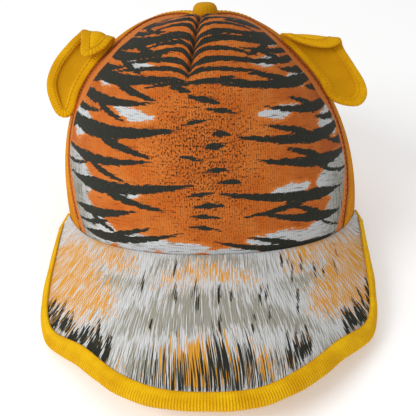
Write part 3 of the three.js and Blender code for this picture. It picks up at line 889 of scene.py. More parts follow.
def front_panel():
    """Foam with its dart and puckers, seams that pull in, and soft unevenness."""
    azimuth, rise, across, up = panel_grid()
    to_seam = np.abs(across[-1]) - np.abs(across)
    left = np.clip((1 - rise) / (1 - DART_START), 0, None)
    away = (azimuth - DART_FOOT_AZIMUTH * left) * girth(0, rise)
    deep = smooth(rise, DART_START, DART_START + DART_BLEND)
    groove = deep * (DART_DEPTH * bell(away, DART_HALF_WIDTH)
                     + DART_STITCH[0] * bell(away, DART_STITCH[1]))
    beat = up * 2 * math.pi / PUCKER_PITCH + 1.4 * np.sin(up / 11) + 0.8 * np.sign(away)
    pucker = PUCKER_DEPTH * deep * np.sin(beat) * bell(away, PUCKER_REACH)
    pucker = pucker * smooth(np.abs(away), 0.6, 3)
    tuck = SEAM_TUCK[0] * bell(to_seam, SEAM_TUCK[1])
    tuck = tuck + SEAM_ROW[0] * bell(to_seam - SEAM_ROW[1], SEAM_ROW[2])
    tuck = tuck * smooth(up, -1, 6) + BROW_TUCK[0] * bell(up, BROW_TUCK[1])
    soft = FOAM_UNEVEN * np.sin(across / 21 + 0.8) * np.sin(up / 27 + 0.4)
    soft = soft * smooth(to_seam, 2, 16) * smooth(up, 2, 20)
    depth = (groove + pucker) * (1 - 0.85 * smooth(rise, 0.93, 0.975)) + tuck + soft
    outer = on_crown(azimuth, rise, depth)
    inner = on_crown(azimuth, rise, np.minimum(groove, DART_DEPTH) + FOAM_WALL)
    shell_piece("foam_front", outer, inner, "printed_foam", "coat", "front_panel", "foam",
                **panel_print(across, up, to_seam, deep, away))


# Net panels: a lattice of six-sided holes, cut off at the seams. Columns of the rings of a
# cell: share of its size, depth
NET_PITCH = 3.4
NET_HOLE = 0.48
NET_RINGS = (
    (1.0, 0.18), (0.86, 0.0), (NET_HOLE, 0.3), (NET_HOLE, 0.9), (0.86, NET_WALL), (1.0, 1.02),
)
NET_MARGIN = 0.35
NET_TOP = 0.975
NET_WELD = 0.00003
CELL_CORNERS = 6


def arch_height(azimuth):
    off = np.abs(180 - np.abs(azimuth)) / ARCH_HALF_ANGLE
    inside = np.sqrt(np.clip(1 - off**2, 0, 1))
    return np.where(off < 1, ARCH_HEIGHT * inside - SKIRT_DEPTH, -SKIRT_DEPTH)


def net_panel(name, side, near, far, node):
    """Cells are placed in millimetres about the panel's own middle line."""
    rises, heights = rises_up(np.mean([near[1], far[1]]), 300, NET_TOP)
    near_line, far_line = (seam_azimuth(seam, rises) for seam in (near, far))
    middle_line = (near_line + far_line) / 2
    widths = (far_line - near_line) / 2 * girth(middle_line, rises)

    def place(across, up):
        rise, middle = (np.interp(up, heights, line) for line in (rises, middle_line))
        return middle + across / girth(middle, rise), rise

    size = NET_PITCH / math.sqrt(3)
    centres = []
    for row, up in enumerate(np.arange(-SKIRT_DEPTH, heights[-1] + size, size * 1.5)):
        width = np.interp(up, heights, widths)
        reach = int(width / NET_PITCH) + 2
        across = (np.arange(-reach, reach + 1) + 0.5 * (row % 2)) * NET_PITCH
        azimuth, rise = place(across, up)
        kept = crown_point(azimuth, rise)[:, 2] >= arch_height(azimuth) - 0.3 * NET_PITCH
        kept = kept & (np.abs(across) <= width + 0.25 * NET_PITCH)
        centres += [(x, up) for x in across[kept]]
    angles = np.radians(30 + 60 * np.arange(CELL_CORNERS))
    circle = np.stack([np.cos(angles), np.sin(angles)], -1)
    share, depth = np.array(NET_RINGS).T[..., None]
    cells = np.array(centres)[:, None, None] + circle * size * share[..., None]
    depth = np.broadcast_to(depth, cells.shape[:-1]).ravel()
    across, up = cells.reshape(-1, 2).T
    up = np.clip(up, heights[0], heights[-1])
    half = np.interp(up, heights, widths) - NET_MARGIN
    azimuth, rise = place(np.clip(across, -half, half), up)
    rise = np.maximum(rise, rise_at_height(azimuth, arch_height(azimuth) + 0.4))
    faces = grid_faces(len(NET_RINGS), CELL_CORNERS, wrap_rows=True)
    faces = copies(faces, len(cells), len(NET_RINGS) * CELL_CORNERS)
    points = on_crown(side * azimuth, rise, depth)
    new_piece(name, points, faces, "net", node, NET_WELD)


# Lines and tapes on the crown's seams. Columns of a tape's section: share of half its width,
# share of its height
TAPE_SECTION = (
    (-1, -0.2), (-0.97, 0.6), (-0.86, 1.0), (-0.4, 1.05), (0, 0.85), (0.4, 1.05), (0.86, 1.0),
    (0.97, 0.6), (1, -0.2), (0, -0.3),
)
SEAM_TAPE_WIDTH = 6.5
SEAM_TAPE_TOP = 0.972
SEAM_STITCH_TOP = 0.965
SEAM_STITCH_ASIDE = 2.2
SIDE_TAPE_START = 0.03
SIDE_STITCH_START = 0.08
SIDE_TAPE_HEIGHT = 0.4
BACK_TAPE_HEIGHT = 0.55
BACK_TAPE_START = ARCH_HEIGHT + 3
FRONT_TAPE_WIDTH = 3.4
FRONT_TAPE_HEIGHT = 0.25
FRONT_TAPE_START = 0.02
PANEL_ROW_ASIDE = -4.2
PANEL_ROW_START = 0.01
PANEL_ROW_LIFT = -0.32
OVERLOCK_TOP = 0.8
OVERLOCK_LIFT = 0.1
OVERLOCK_PITCH = 2.1
OVERLOCK_HALF = 1.6
OVERLOCK_SLANT = 0.8


def seam_line(seam, side, aside, low, high, lift=0.0, count=90):
    """Points and normals beside a seam, aside in mm towards the back of the hat."""
    rises = np.linspace(low, high, count)
    middle = seam_azimuth(seam, rises)
    azimuth = side * (middle + aside / girth(middle, rises))
    normals = crown_normal(azimuth, rises)
    return crown_point(azimuth, rises) + normals * lift, normals


def overlock(side):
    """Short threads across a front seam, each slanted along it."""
    (near, normals), (far, _) = (
        seam_line(FRONT_SEAM, side, aside, FRONT_TAPE_START, OVERLOCK_TOP, OVERLOCK_LIFT)
        for aside in (-OVERLOCK_HALF, OVERLOCK_HALF))
    along = arc_length(near)
    starts = np.arange(0, along[-1] - 1, OVERLOCK_PITCH)
    ends = [at_places(starts, along, near), at_places(starts + OVERLOCK_SLANT, along, far)]
    out = at_places(starts, along, normals)
    return list(zip(np.stack(ends, 1), np.stack([out, out], 1)))


def seam_tape(name, seam, side, width, low, height, finish="ribbed"):
    """Flat tape lying over a seam, with rounded edges."""
    lines = [seam_line(seam, side, aside * width / 2, low, SEAM_TAPE_TOP, up * height, 160)[0]
             for aside, up in TAPE_SECTION]
    rings = np.stack(lines, 1)
    sweep_piece(name, rings, "yellow_cloth", finish, rib=arc_length(rings[:, 4])[:, None])


def taped_seam(name, seam, side, low, stitch_low, height):
    """Tape over a seam. Gives the two rows of stitches that hold it."""
    seam_tape(name, seam, side, SEAM_TAPE_WIDTH, low, height)
    return [seam_line(seam, side, aside, stitch_low, SEAM_STITCH_TOP, height)
            for aside in (-SEAM_STITCH_ASIDE, SEAM_STITCH_ASIDE)]


# Peak

OUTLINE_POINTS = np.array([(side, -front) for _, side, front in PEAK_OUTLINE])
OUTLINE_AZIMUTHS = np.array([azimuth for azimuth, _, _ in PEAK_OUTLINE])
PEAK_COLUMNS = 321
PEAK_ROWS = 111
EDGE_LENGTH = 380
FAN_REACH = 70
FRONT_SPREAD = 62
OUTLINE_STEP = 0.005
END_THICKNESS = 0.5
END_THINS = (-72, -30)
PEAK_TUCK = (0.7, 1.5)
PEAK_LOOSE = 0.18
LOOSE_UNTIL = -35

# Patches of the peak's coat, in plan. Columns: x and y of the start, bend and end, and width
PEAK_TANS = (
    (-90, -46, -80, -86, -50, -112, 34), (90, -48, 80, -86, 52, -112, 34),
    (-66, -58, -58, -78, -40, -94, 16), (64, -56, 58, -76, 42, -94, 17),
    (-24, -106, 0, -101, 22, -107, 7),
)
PEAK_GREYS = (
    (-84, -70, -60, -96, -30, -106, 9), (84, -72, 60, -96, 34, -106, 9),
    (-56, -122, 0, -124, 56, -122, 22), (-30, -98, 0, -96, 30, -98, 8),
    (-90, -96, -84, -106, -70, -118, 7), (88, -96, 82, -106, 70, -118, 7),
    (-46, -140, 0, -160, 46, -140, 9),
)

# Dark tufts, in millimetres along the peak's edge and in from it
TUFT_PITCH = 3.6
TUFT_REACH = 130
SMALL_TUFTS = 26
TUFT_SEED = 8


def peak_height(x, y):
    slope = math.tan(math.radians(PEAK_PITCH))
    beside = np.clip(-y / CROWN_FRONT_REACH, 0, 1)
    arching = (RIM_RISE_AT_FRONT + CROWN_FRONT_REACH * slope / (1 + beside)) / half_width(x) ** 2
    return RIM_RISE_AT_FRONT - (-y - CROWN_FRONT_REACH) * slope - arching * x * x


def peak_normal(x, y):
    step = 0.5
    dx = (peak_height(x + step, y) - peak_height(x - step, y)) / (2 * step)
    dy = (peak_height(x, y + step) - peak_height(x, y - step)) / (2 * step)
    return unit(np.stack([-dx, -dy, np.ones_like(dx)], -1))


def on_peak(x, y, depth):
    depth = np.asarray(depth, float)[..., None]
    return np.stack([x, y, peak_height(x, y)], -1) - peak_normal(x, y) * depth


def joint_azimuth(share):
    knots = np.arange(len(OUTLINE_AZIMUTHS))
    return np.interp(share * knots[-1], knots, OUTLINE_AZIMUTHS)


def outward_at(share):
    ahead, behind = (catmull_rom(OUTLINE_POINTS, np.clip(share + step, 0, 1))
                     for step in (OUTLINE_STEP, -OUTLINE_STEP))
    along = unit(ahead - behind)
    return np.stack([along[..., 1], -along[..., 0]], -1)


def end_taper(y):
    """Share of the peak's thickness that is left towards its rear ends."""
    return mix(1, END_THICKNESS, smooth(y, *END_THINS))


def board_edge(share):
    outline = catmull_rom(OUTLINE_POINTS, share)
    return outline - outward_at(share) * (BINDING_TURN * end_taper(outline[..., 1]))[..., None]


def plan_strokes(rows):
    return [(np.reshape(row[:6], (3, 2)), row[6], 0.4) for row in rows]


def peak_tufts(rng):
    tufts = []
    for place in np.arange(-TUFT_REACH, TUFT_REACH, TUFT_PITCH):
        jolt = rng.uniform(-1, 1, 5)
        clump = 0.5 + 0.5 * math.sin(place / 9.5) * math.sin(place / 23 + 1)
        middle = bell(place, FRONT_SPREAD)
        if clump < 0.3 + 0.12 * jolt[0] + 0.9 * bell(place, 36):
            continue
        near = 4 + 3 * jolt[1] + 7 * middle * (1 + jolt[2])
        length = 5 + 6 * clump + 16 * middle + 4 * jolt[3]
        place = place + jolt[4]
        points = ((place, near), (place + 1.2 * jolt[0], near + length / 2),
                  (place + 2.5 * jolt[2], near + length))
        tufts.append((points, 2.4 + 2.6 * clump, 0.3))
    for place in rng.uniform(-TUFT_REACH, TUFT_REACH, SMALL_TUFTS):
        near, length = rng.uniform(28, 60), rng.uniform(5, 11)
        points = ((place, near), (place + 0.6, near + length / 2), (place + 1.5, near + length))
        tufts.append((points, 1.7, 0.4))
    return tufts


def peak_print(x, y, out, share, distance):
    """The values that the print reads. Its hairs fan out from the crown to the edge."""
    length = distance[:, -1:]
    to_edge = length - distance
    along_edge = (share[:, None] - 0.5) * EDGE_LENGTH + 0 * x
    sway = 3 * np.sin(distance / 14 + x / 24) * smooth(length, 40, 75)
    fan = along_edge + 0.4 * np.clip(along_edge, -FAN_REACH, FAN_REACH) * (1 - out) + sway
    hair = 0.32 + 0.42 * smooth(distance / np.maximum(length, 1), 0.3, 0.9)
    front = bell(along_edge, FRONT_SPREAD)
    clump = 0.5 + 0.3 * np.sin(along_edge / 7.5) + 0.2 * np.sin(along_edge / 3.1 + 1)
    tall = 9 + 27 * front + 9 * (clump - 0.5)
    tuft = smooth(to_edge, 1, 7) * (1 - smooth(to_edge, 0.45 * tall, 1.15 * tall))
    lock = smooth(to_edge, 3, 9) * (1 - smooth(to_edge, 0.6 * tall, 1.3 * tall))
    tufts = peak_tufts(np.random.default_rng(TUFT_SEED))
    return {
        "across": x, "up": y, "flow_across": fan, "flow_along": distance,
        "stripe": stroke_depth(along_edge, to_edge, tufts),
        "tan": stroke_depth(x, y, plan_strokes(PEAK_TANS)),
        "grey": stroke_depth(x, y, plan_strokes(PEAK_GREYS)),
        "hair": hair * (0.75 + 0.25 * np.sin(x / 17 + 1.2)),
        "tuft": tuft * mix(0.3, 0.9, front) * mix(0.9, 1.0, clump),
        "lock": lock * front * mix(1.1, 0.5, clump),
    }


def peak():
    """Board with cloth tucked in at the crown, and a little loose on its top."""
    share = np.linspace(0, 1, PEAK_COLUMNS)
    out = np.linspace(0, 1, PEAK_ROWS)[None, :]
    azimuth = joint_azimuth(share)
    away = rim_away(azimuth)
    joint = crown_point(azimuth, 0)
    lean = np.sum(peak_normal(joint[:, 0], joint[:, 1]) * away, -1)
    lean = lean * PEAK_WALL * end_taper(joint[:, 1])
    faces = []
    for face in (1, 0):
        start = joint[:, :2] + away[:, :2] * (GAP + face * lean)[:, None]
        flat = mix(start[:, None], board_edge(share)[:, None], out[..., None])
        x, y = flat[..., 0], flat[..., 1]
        faces.append(on_peak(x, y, face * PEAK_WALL * end_taper(y)))
    bottom, top = faces
    distance = np.linalg.norm(flat - flat[:, :1], axis=-1)
    tuck = PEAK_TUCK[0] * bell(distance, PEAK_TUCK[1])
    loose = PEAK_LOOSE * np.sin(x / 9 + 0.7) * np.sin(y / 13)
    loose = loose * smooth(distance[:, -1:] - distance, 4, 20)
    top = top - peak_normal(x, y) * ((tuck + loose) * (y < LOOSE_UNTIL))[..., None]
    shell_piece("peak_cover", top, bottom, "printed_peak", "peak", "peak", "under",
                **peak_print(x, y, out, share, distance))


# Binding of the peak

BINDING_STATIONS = 1500
BINDING_SIDES = 34
BINDING_CLEARANCE = 1.2
BINDING_WIDENS = (85, 132)
BINDING_RIBBING = 0.04
BINDING_INNER_RIBS = 0.35
ROOM_STEP = 0.25
ROOM_STEPS = 36
TUBE_RADIUS = 1.55
TUBE_RIBBING = 0.05
TUBE_SINK = 0.25
TUBE_STATIONS = 24
TUBE_SIDES = 20


def sections(*corners):
    """Sections along a path, of corners whose places are numbers or vary along it."""
    return np.stack([np.stack(np.broadcast_arrays(*corner), -1) for corner in corners], -2)


def room_inside(edge, inward, depth):
    """Width that fits between the edge and the crown, with a clearance."""
    room = mix(BINDING_SIDE, BINDING_FRONT, smooth(-edge[:, 1], *BINDING_WIDENS))
    for _ in range(ROOM_STEPS):
        flat = edge + inward * room[:, None]
        inner = on_peak(flat[:, 0], flat[:, 1], depth)
        wide = half_width(inner[:, 0])
        ratio = np.hypot(inner[:, 0] / wide, inner[:, 1] / CROWN_FRONT_REACH)
        room = np.where((ratio - 1) * wide > BINDING_CLEARANCE, room, room - ROOM_STEP)
    return room


def peak_binding():
    """Padded binding, ribbed most round its outer turn. Gives the seam on its top."""
    share = np.linspace(0, 1, BINDING_STATIONS)
    edge = board_edge(share)
    out = outward_at(share)
    taper = end_taper(edge[:, 1])
    pad, rim = (GAP + height * taper for height in (BINDING_PAD, BINDING_RIM))
    turn = BINDING_TURN * taper
    wall = PEAK_WALL * taper
    over = room_inside(edge, -out, 0)
    below = room_inside(edge, -out, wall + pad)
    corners = sections(
        (-over, GAP), (-over, rim), (-0.65 * over, pad), (-0.2 * over, pad), (0.6 * turn, rim),
        (turn, -wall / 2), (0.6 * turn, -wall - rim), (-0.2 * below, -wall - pad),
        (-0.65 * below, -wall - pad), (-below, -wall - rim), (-below, -wall - GAP),
        (GAP, -wall - GAP), (GAP, GAP + 0 * wall),
    )
    around = np.arange(BINDING_SIDES) / BINDING_SIDES
    section = catmull_rom(corners.swapaxes(0, 1), around, closed=True)
    along = arc_length(catmull_rom(OUTLINE_POINTS, share))
    outer = np.clip((section[..., 0] + over) / over, 0, 1)
    # The ribs and the painted shade between them are strongest round the outer turn
    turned = mix(BINDING_INNER_RIBS, 1, smooth(outer, 0.45, 0.85))
    ribbing = BINDING_RIBBING * np.cos(2 * math.pi * along / BINDING_RIB) * turned
    uneven = 0.03 * np.sin(along / 7.3) + 0.02 * np.sin(along / 3.1 + 1)
    middle = section.mean(0)
    section = middle + (section - middle) * (1 + ribbing + outer * uneven)[..., None]
    x, y = np.moveaxis(edge + out * section[..., :1], -1, 0)
    rings = on_peak(x, y, -section[..., 1]).swapaxes(0, 1)
    piece = sweep_piece("peak_edge", rings, "yellow_cloth", "edge", "peak_binding",
                        rib=along[:, None], outer=turned.T)
    line = rings[:, 2:4].mean(1)
    return line, peak_normal(line[:, 0], line[:, 1])


def binding_end(side, side_name):
    """Short tube that carries the binding over the peak's rear end, up to the crown."""
    share = np.array([0.5 + 0.5 * side])
    azimuth = joint_azimuth(share)
    start = board_edge(share)[0] + outward_at(share)[0]
    end = (crown_point(azimuth, 0) + rim_away(azimuth) * GAP)[0, :2]
    x, y = mix(start, end, np.linspace(0, 1, TUBE_STATIONS)[:, None]).T
    middle = on_peak(x, y, PEAK_WALL * TUBE_SINK)
    normal = peak_normal(x, y)
    beside = unit(np.cross(normal, unit(middle[-1] - middle[0])))
    along = arc_length(middle)
    beat = np.cos(2 * math.pi * along / BINDING_RIB)
    thick = TUBE_RADIUS * (1 + TUBE_RIBBING * beat)[:, None]
    turns = np.linspace(0, 2 * math.pi, TUBE_SIDES, endpoint=False)
    rings = np.stack([middle + (beside * math.cos(turn) + normal * math.sin(turn)) * thick
                      for turn in turns], 1)
    sweep_piece(f"edge_end_{side_name}", rings, "yellow_cloth", "edge", rib=along[:, None],
                outer=1.0)


# Ears. A place on an ear is along its seam, out from the crown and ahead of its middle.

EAR_STATIONS = 460
EAR_SIDES = 20
EAR_RIB = 1.6
EAR_RIBBING = 0.0175
EAR_SEAM_TOP = 0.92
EAR_SEAM_STEP = 0.03
EAR_BORDER_INWARD = 3.3
EAR_BORDER_FLATNESS = 0.6
EAR_BORDER_SPAN = 4
EAR_BORDER_HEIGHT = EAR_BORDER_THICKNESS * 0.39
EAR_ROW_INSET = EAR_BORDER_INWARD * 0.55
EAR_ROW_HEIGHT = EAR_BORDER_THICKNESS * 0.4
EAR_GRID = (150, 50)
EAR_CLOTH = EAR_WALL * 0.8
EAR_CREASE = 0.25

# How far an ear's cloth lies inside its border, as shares of the border's width: at its low
# end, its high end, the crown and the free side
EAR_INSETS = (0.45, 0.3, 0.8, 0.12)


def ear_seam(ear):
    rises = np.arange(ear["start"], EAR_SEAM_TOP, EAR_SEAM_STEP)
    azimuth = ear["side"] * seam_azimuth(FRONT_SEAM, rises)
    knots = on_crown(azimuth, rises, np.full(len(rises), -EAR_OFFSET))
    line = catmull_rom(knots, np.linspace(0, 1, 400))
    return arc_length(line), line


def ear_place(ear, along, out, ahead):
    lengths, line = ear_seam(ear)
    at_crown, at_edge, radius = ear["fold"]
    reach = max(row[1] for row in ear["outline"])
    fold_at = mix(at_crown, at_edge, np.minimum(out / reach, 1))
    past = np.maximum(along - fold_at, 0)
    turn = np.minimum(past / radius, math.pi)
    hang = past - turn * radius
    level = np.minimum(along, fold_at) + (radius - ahead) * np.sin(turn) - hang
    forward = radius - (radius - ahead) * np.cos(turn)
    held = np.clip(level, 0, lengths[-1])
    slopes = unit(np.gradient(line, lengths, axis=0))
    tangent = unit(at_places(held, lengths, slopes))
    root = at_places(held, lengths, line) + tangent * (level - held)[..., None]
    lift, sweep = math.radians(ear["lift"]), math.radians(ear["sweep"])
    outward_way = np.array([
        ear["side"] * math.cos(lift) * math.cos(sweep), math.sin(sweep),
        math.sin(lift) * math.cos(sweep),
    ])
    facing = unit(np.cross(tangent, outward_way))
    facing = np.where(facing[..., 1:2] > 0, -facing, facing)
    return root + outward_way * out[..., None] + facing * forward[..., None]


def border_line(ear, shares):
    near = EAR_BORDER_WIDTH / 2
    top = ear["outline"][0][0] - EAR_BORDER_SPAN
    base = [(mix(EAR_BORDER_SPAN, top, share), near) for share in np.linspace(0, 1, 5)]
    return catmull_rom([*base, *ear["outline"]], shares, closed=True)


def flattened(value):
    return np.sign(value) * np.abs(value) ** EAR_BORDER_FLATNESS


def ear_border(ear):
    """Padded ribbed border. Gives the rows of stitches on its front and back."""
    middle = border_line(ear, np.linspace(0, 1, EAR_STATIONS, endpoint=False))
    along = unit(np.roll(middle, -1, 0) - np.roll(middle, 1, 0))
    beside_line = np.stack([along[:, 1], -along[:, 0]], -1)
    beside_line *= np.sign(np.sum(beside_line * (middle - middle.mean(0)), -1, keepdims=True))
    length = arc_length(np.concatenate([middle, middle[:1]]))
    beat = 2 * math.pi * round(length[-1] / EAR_RIB) * length[:-1] / length[-1]
    swell = 1 + EAR_RIBBING * np.cos(beat)[:, None]
    turn = 2 * math.pi * np.arange(EAR_SIDES) / EAR_SIDES
    beside = flattened(np.cos(turn))
    beside = beside * np.where(beside > 0, EAR_BORDER_WIDTH / 2, EAR_BORDER_INWARD) * swell
    ahead = flattened(np.sin(turn)) * EAR_BORDER_HEIGHT * swell
    flat = middle[:, None] + beside_line[:, None] * beside[..., None]
    rings = ear_place(ear, flat[..., 0], flat[..., 1], ahead)
    piece = sweep_piece(f"{ear['name']}_edge", rings, "yellow_cloth", "ribbed",
                        f"{ear['name']}_border", closed=True, rib=length[:-1, None])
    along, out = (middle - beside_line * EAR_ROW_INSET).T
    core, front, back = (ear_place(ear, along, out, np.full(len(out), height))
                         for height in (0.0, EAR_ROW_HEIGHT, -EAR_ROW_HEIGHT))
    return [(line, unit(line - core)) for line in (front, back)]


def free_edge(ear, along):
    """How far out the border's free side lies, and its slope, at places along the ear."""
    line = border_line(ear, np.linspace(0, 1, 480, endpoint=False))
    run = np.roll(line, -1, 0) - line
    share = (along - line[:, :1]) / run[:, :1]
    out = np.where((share >= 0) & (share <= 1), line[:, 1:] + run[:, 1:] * share, 0)
    best = out.argmax(0)
    return out.max(0), run[best, 1] / run[best, 0]


def ear_panel(ear):
    """Thin sunken panel inside an ear's border, faintly creased."""
    at_low, at_high, start, inset = (EAR_BORDER_WIDTH * share for share in EAR_INSETS)
    low = ear["outline"][-1][0] + at_low
    high = ear["outline"][0][0] - at_high
    along = np.linspace(low, high, EAR_GRID[0])
    edge, slope = free_edge(ear, along)
    end = np.maximum(edge - inset * np.hypot(1, np.clip(slope, -3, 3)), start + 0.5)
    across = np.linspace(0, 1, EAR_GRID[0])[:, None]
    outward_share = np.linspace(0, 1, EAR_GRID[1])[None, :]
    along = np.broadcast_to(along[:, None], EAR_GRID)
    out = mix(start, end[:, None], outward_share)
    sunk = np.sin(math.pi * across) ** 0.5 * np.sin(math.pi * outward_share)
    crease = EAR_CREASE * np.sin(along / 5.5 + out / 4) * sunk
    front, back = (ear_place(ear, along, out, face * EAR_CLOTH - EAR_HOLLOW * sunk + crease)
                   for face in (0.5, -0.5))
    folded = smooth(along, ear["fold"][0] - 1, ear["fold"][0] + 3)
    shell_piece(f"{ear['name']}_cloth", front, back, "ear_cloth", "ear", ear["name"], rib=out,
                folded=folded)


# Rim band, tape of the opening, strap and button

BAND_END = 180 - ARCH_HALF_ANGLE - 5.6
FOLD_FROM = 96.5
FOLD_OUT = 99
FOLD_UP = 103
FOLD_STITCH_DROP = 1.6
BAND_STITCH_DROP = 3
BAND_STATIONS = 341
FOAM_EASE = 0.3
TAPE_ROUNDING = 0.5
TAPE_STITCH_INSET = 1.4
TAPE_EASE = 0.35
ARCH_STATIONS = 181
STRAP_INSET = 1.4
STRAP_OVERLAP = 10
STRAP_ROUNDINGS = (0.6, 0.2)


def round_corners(section, radius):
    """A closed polygon with each corner replaced by three points."""
    ends = []
    for shift in (1, -1):
        way = np.roll(section, shift, axis=-2) - section
        length = np.linalg.norm(way, axis=-1, keepdims=True)
        ends.append(section + unit(way) * np.minimum(radius, 0.45 * length))
    middle = section * 0.5 + ends[0] * 0.25 + ends[1] * 0.25
    stacked = np.stack([ends[0], middle, ends[1]], axis=-2)
    return stacked.reshape(*section.shape[:-2], -1, 2)


def beside_rim(azimuth, out, up):
    joint = crown_point(azimuth, 0)
    above = on_crown(azimuth, rise_at_height(azimuth, joint[..., 2] + up), -out)
    below = joint + rim_away(azimuth) * out[..., None]
    below[..., 2] = joint[..., 2] + up
    return np.where((up > 0)[..., None], above, below)


def rim_line(low, high, count, height, depth):
    """Points round the crown at a height over its rim, depth under its surface, and normals."""
    azimuth = np.linspace(low, high, count)
    rise = rise_at_height(azimuth, crown_point(azimuth, 0)[..., 2] + height)
    normal = crown_normal(azimuth, rise)
    return crown_point(azimuth, rise) - normal * np.reshape(depth(azimuth), (-1, 1)), normal


def rim_band():
    """Band inside the rim and under it, folded up outside at the back. Gives its stitches."""
    azimuth = np.linspace(-BAND_END, BAND_END, BAND_STATIONS)
    off = np.abs(azimuth)
    panel_edge = seam_azimuth(FRONT_SEAM, rise_at_height(FRONT_SEAM[2], BAND_HEIGHT + 2))
    on_net = smooth(off, panel_edge + 1, panel_edge + 8)
    inside = mix(FOAM_WALL + FOAM_EASE, NET_WALL, on_net) + GAP
    outside = mix(-TAPE - GAP, GAP, smooth(off, FOLD_FROM, FOLD_OUT))
    fold_top = mix(-SKIRT_DEPTH - GAP / 2, FOLD_HEIGHT, smooth(off, FOLD_OUT, FOLD_UP))
    foot = -SKIRT_DEPTH - GAP
    section = sections(
        (outside, foot), (outside, fold_top), (outside + TAPE, fold_top),
        (outside + TAPE, foot - TAPE), (-inside - TAPE, foot - TAPE),
        (-inside - TAPE, BAND_HEIGHT / 2), (-inside - TAPE, BAND_HEIGHT),
        (-inside, BAND_HEIGHT), (-inside, BAND_HEIGHT / 2), (-inside, foot),
    )
    section = round_corners(section, TAPE_ROUNDING)
    place = np.broadcast_to(azimuth[:, None], section.shape[:2])
    rings = beside_rim(place, section[..., 0], section[..., 1])
    sweep_piece("rim_cloth", rings, "yellow_cloth", "band", "rim_band",
                across=arc_length(rings[:, 0])[:, None], up=arc_length(rings[len(rings) // 2]))

    def lining_depth(line_azimuth):
        return np.interp(line_azimuth, azimuth, inside) + TAPE

    def fold_depth(line_azimuth):
        return np.full(len(line_azimuth), -GAP - TAPE)

    fold_height = FOLD_HEIGHT - FOLD_STITCH_DROP
    rows = [rim_line(low, high, 80, fold_height, fold_depth)
            for low, high in ((FOLD_UP, BAND_END), (-BAND_END, -FOLD_UP))]
    line, normal = rim_line(-BAND_END + 2, BAND_END - 2, 220, BAND_HEIGHT - BAND_STITCH_DROP,
                            lining_depth)
    return [*rows, (line, -normal)]


def arch_place(share):
    turn = share * math.pi
    azimuth = 180 - ARCH_HALF_ANGLE * np.cos(turn)
    return azimuth, rise_at_height(azimuth, ARCH_HEIGHT * np.sin(turn) - SKIRT_DEPTH)


def opening_binding():
    """Tape round the opening at the back. Gives its two rows of stitches."""
    share = np.linspace(0, 1, ARCH_STATIONS)
    here = arch_place(share)
    before, after = (arch_place(np.clip(share + step, 0, 1)) for step in (-0.02, 0.02))
    middle = crown_point(*here)
    normal = crown_normal(*here)
    into = unit(np.cross(crown_point(*after) - crown_point(*before), normal))
    over = GAP + TAPE_EASE
    under = -NET_WALL - over
    web = GAP + FOAM_EASE
    section = np.array([
        (web, over), (-ARCH_TAPE, over), (-ARCH_TAPE, over + TAPE), (web + TAPE, over + TAPE),
        (web + TAPE, under - TAPE), (-ARCH_TAPE, under - TAPE), (-ARCH_TAPE, under), (web, under),
    ])

    def place(inward, out):
        bend = inward**2 / (2 * CROWN_BACK_REACH)
        return middle + into * inward + normal * (out - bend)

    corners = round_corners(section, TAPE_ROUNDING)
    rings = np.stack([place(*corner) for corner in corners], 1)
    sweep_piece("opening_tape", rings, "yellow_cloth", "ribbed", "opening_binding",
                rib=arc_length(middle)[:, None])
    return [(place(inward, over + TAPE), normal) for inward in (TAPE_STITCH_INSET - ARCH_TAPE, 0)]


def snap_strap():
    half = ARCH_HALF_ANGLE + STRAP_OVERLAP
    depth = NET_WALL + GAP + TAPE + STRAP_INSET
    azimuth = np.linspace(180 - half, 180 + half, 120)
    corners = np.array([
        (depth, STRAP_BOTTOM), (depth, STRAP_TOP), (depth + STRAP_WALL, STRAP_TOP),
        (depth + STRAP_WALL, STRAP_BOTTOM),
    ])
    for radius in STRAP_ROUNDINGS:
        corners = round_corners(corners, radius)
    rings = []
    for into, height in corners:
        line = on_crown(azimuth, 0, np.full(len(azimuth), into))
        line[:, 2] = height
        rings.append(line)
    sweep_piece("strap", np.stack(rings, 1), "strap_plastic", "strap", "snap_strap")


# Columns: radius and height of the button's base
BUTTON_BASE = ((0.01, -3.4), (2.0, -3.4), (2.0, -1.6), (5.8, -1.7), (6.9, -1.2))
BUTTON_GATHERS = 18
GATHER_DEPTH = 0.022
BUTTON_UNEVEN = 0.01


def top_button():
    """Cloth drawn over a button, with faint gathers round its edge."""
    climb = np.linspace(0.0, math.pi / 2 - 0.003, 18)
    dome = [BUTTON_RADIUS * np.cos(climb) ** 0.55, BUTTON_HEIGHT * np.sin(climb) ** 0.85 - 0.2]
    radius, height = np.concatenate([np.array(BUTTON_BASE).T, dome], 1)[..., None]
    turn = np.linspace(0, 2 * math.pi, 72, endpoint=False)
    gather = GATHER_DEPTH * smooth(radius, 3.5, BUTTON_RADIUS) * np.sin(turn * BUTTON_GATHERS)
    radius = radius * (1 + gather + BUTTON_UNEVEN * np.sin(3 * turn))
    upright = np.stack(np.broadcast_arrays(
        radius * np.sin(turn), -radius * np.cos(turn), height), -1)
    seat = crown_point(0, 1) + np.array([0, 0, BUTTON_LIFT])
    sweep_piece("button_cloth", lean_back(upright, BUTTON_TILT) + seat, "yellow_cloth", "button",
                "top_button", rib=upright[..., 0])


# Build

SIDES = ((-1, "left"), (1, "right"))

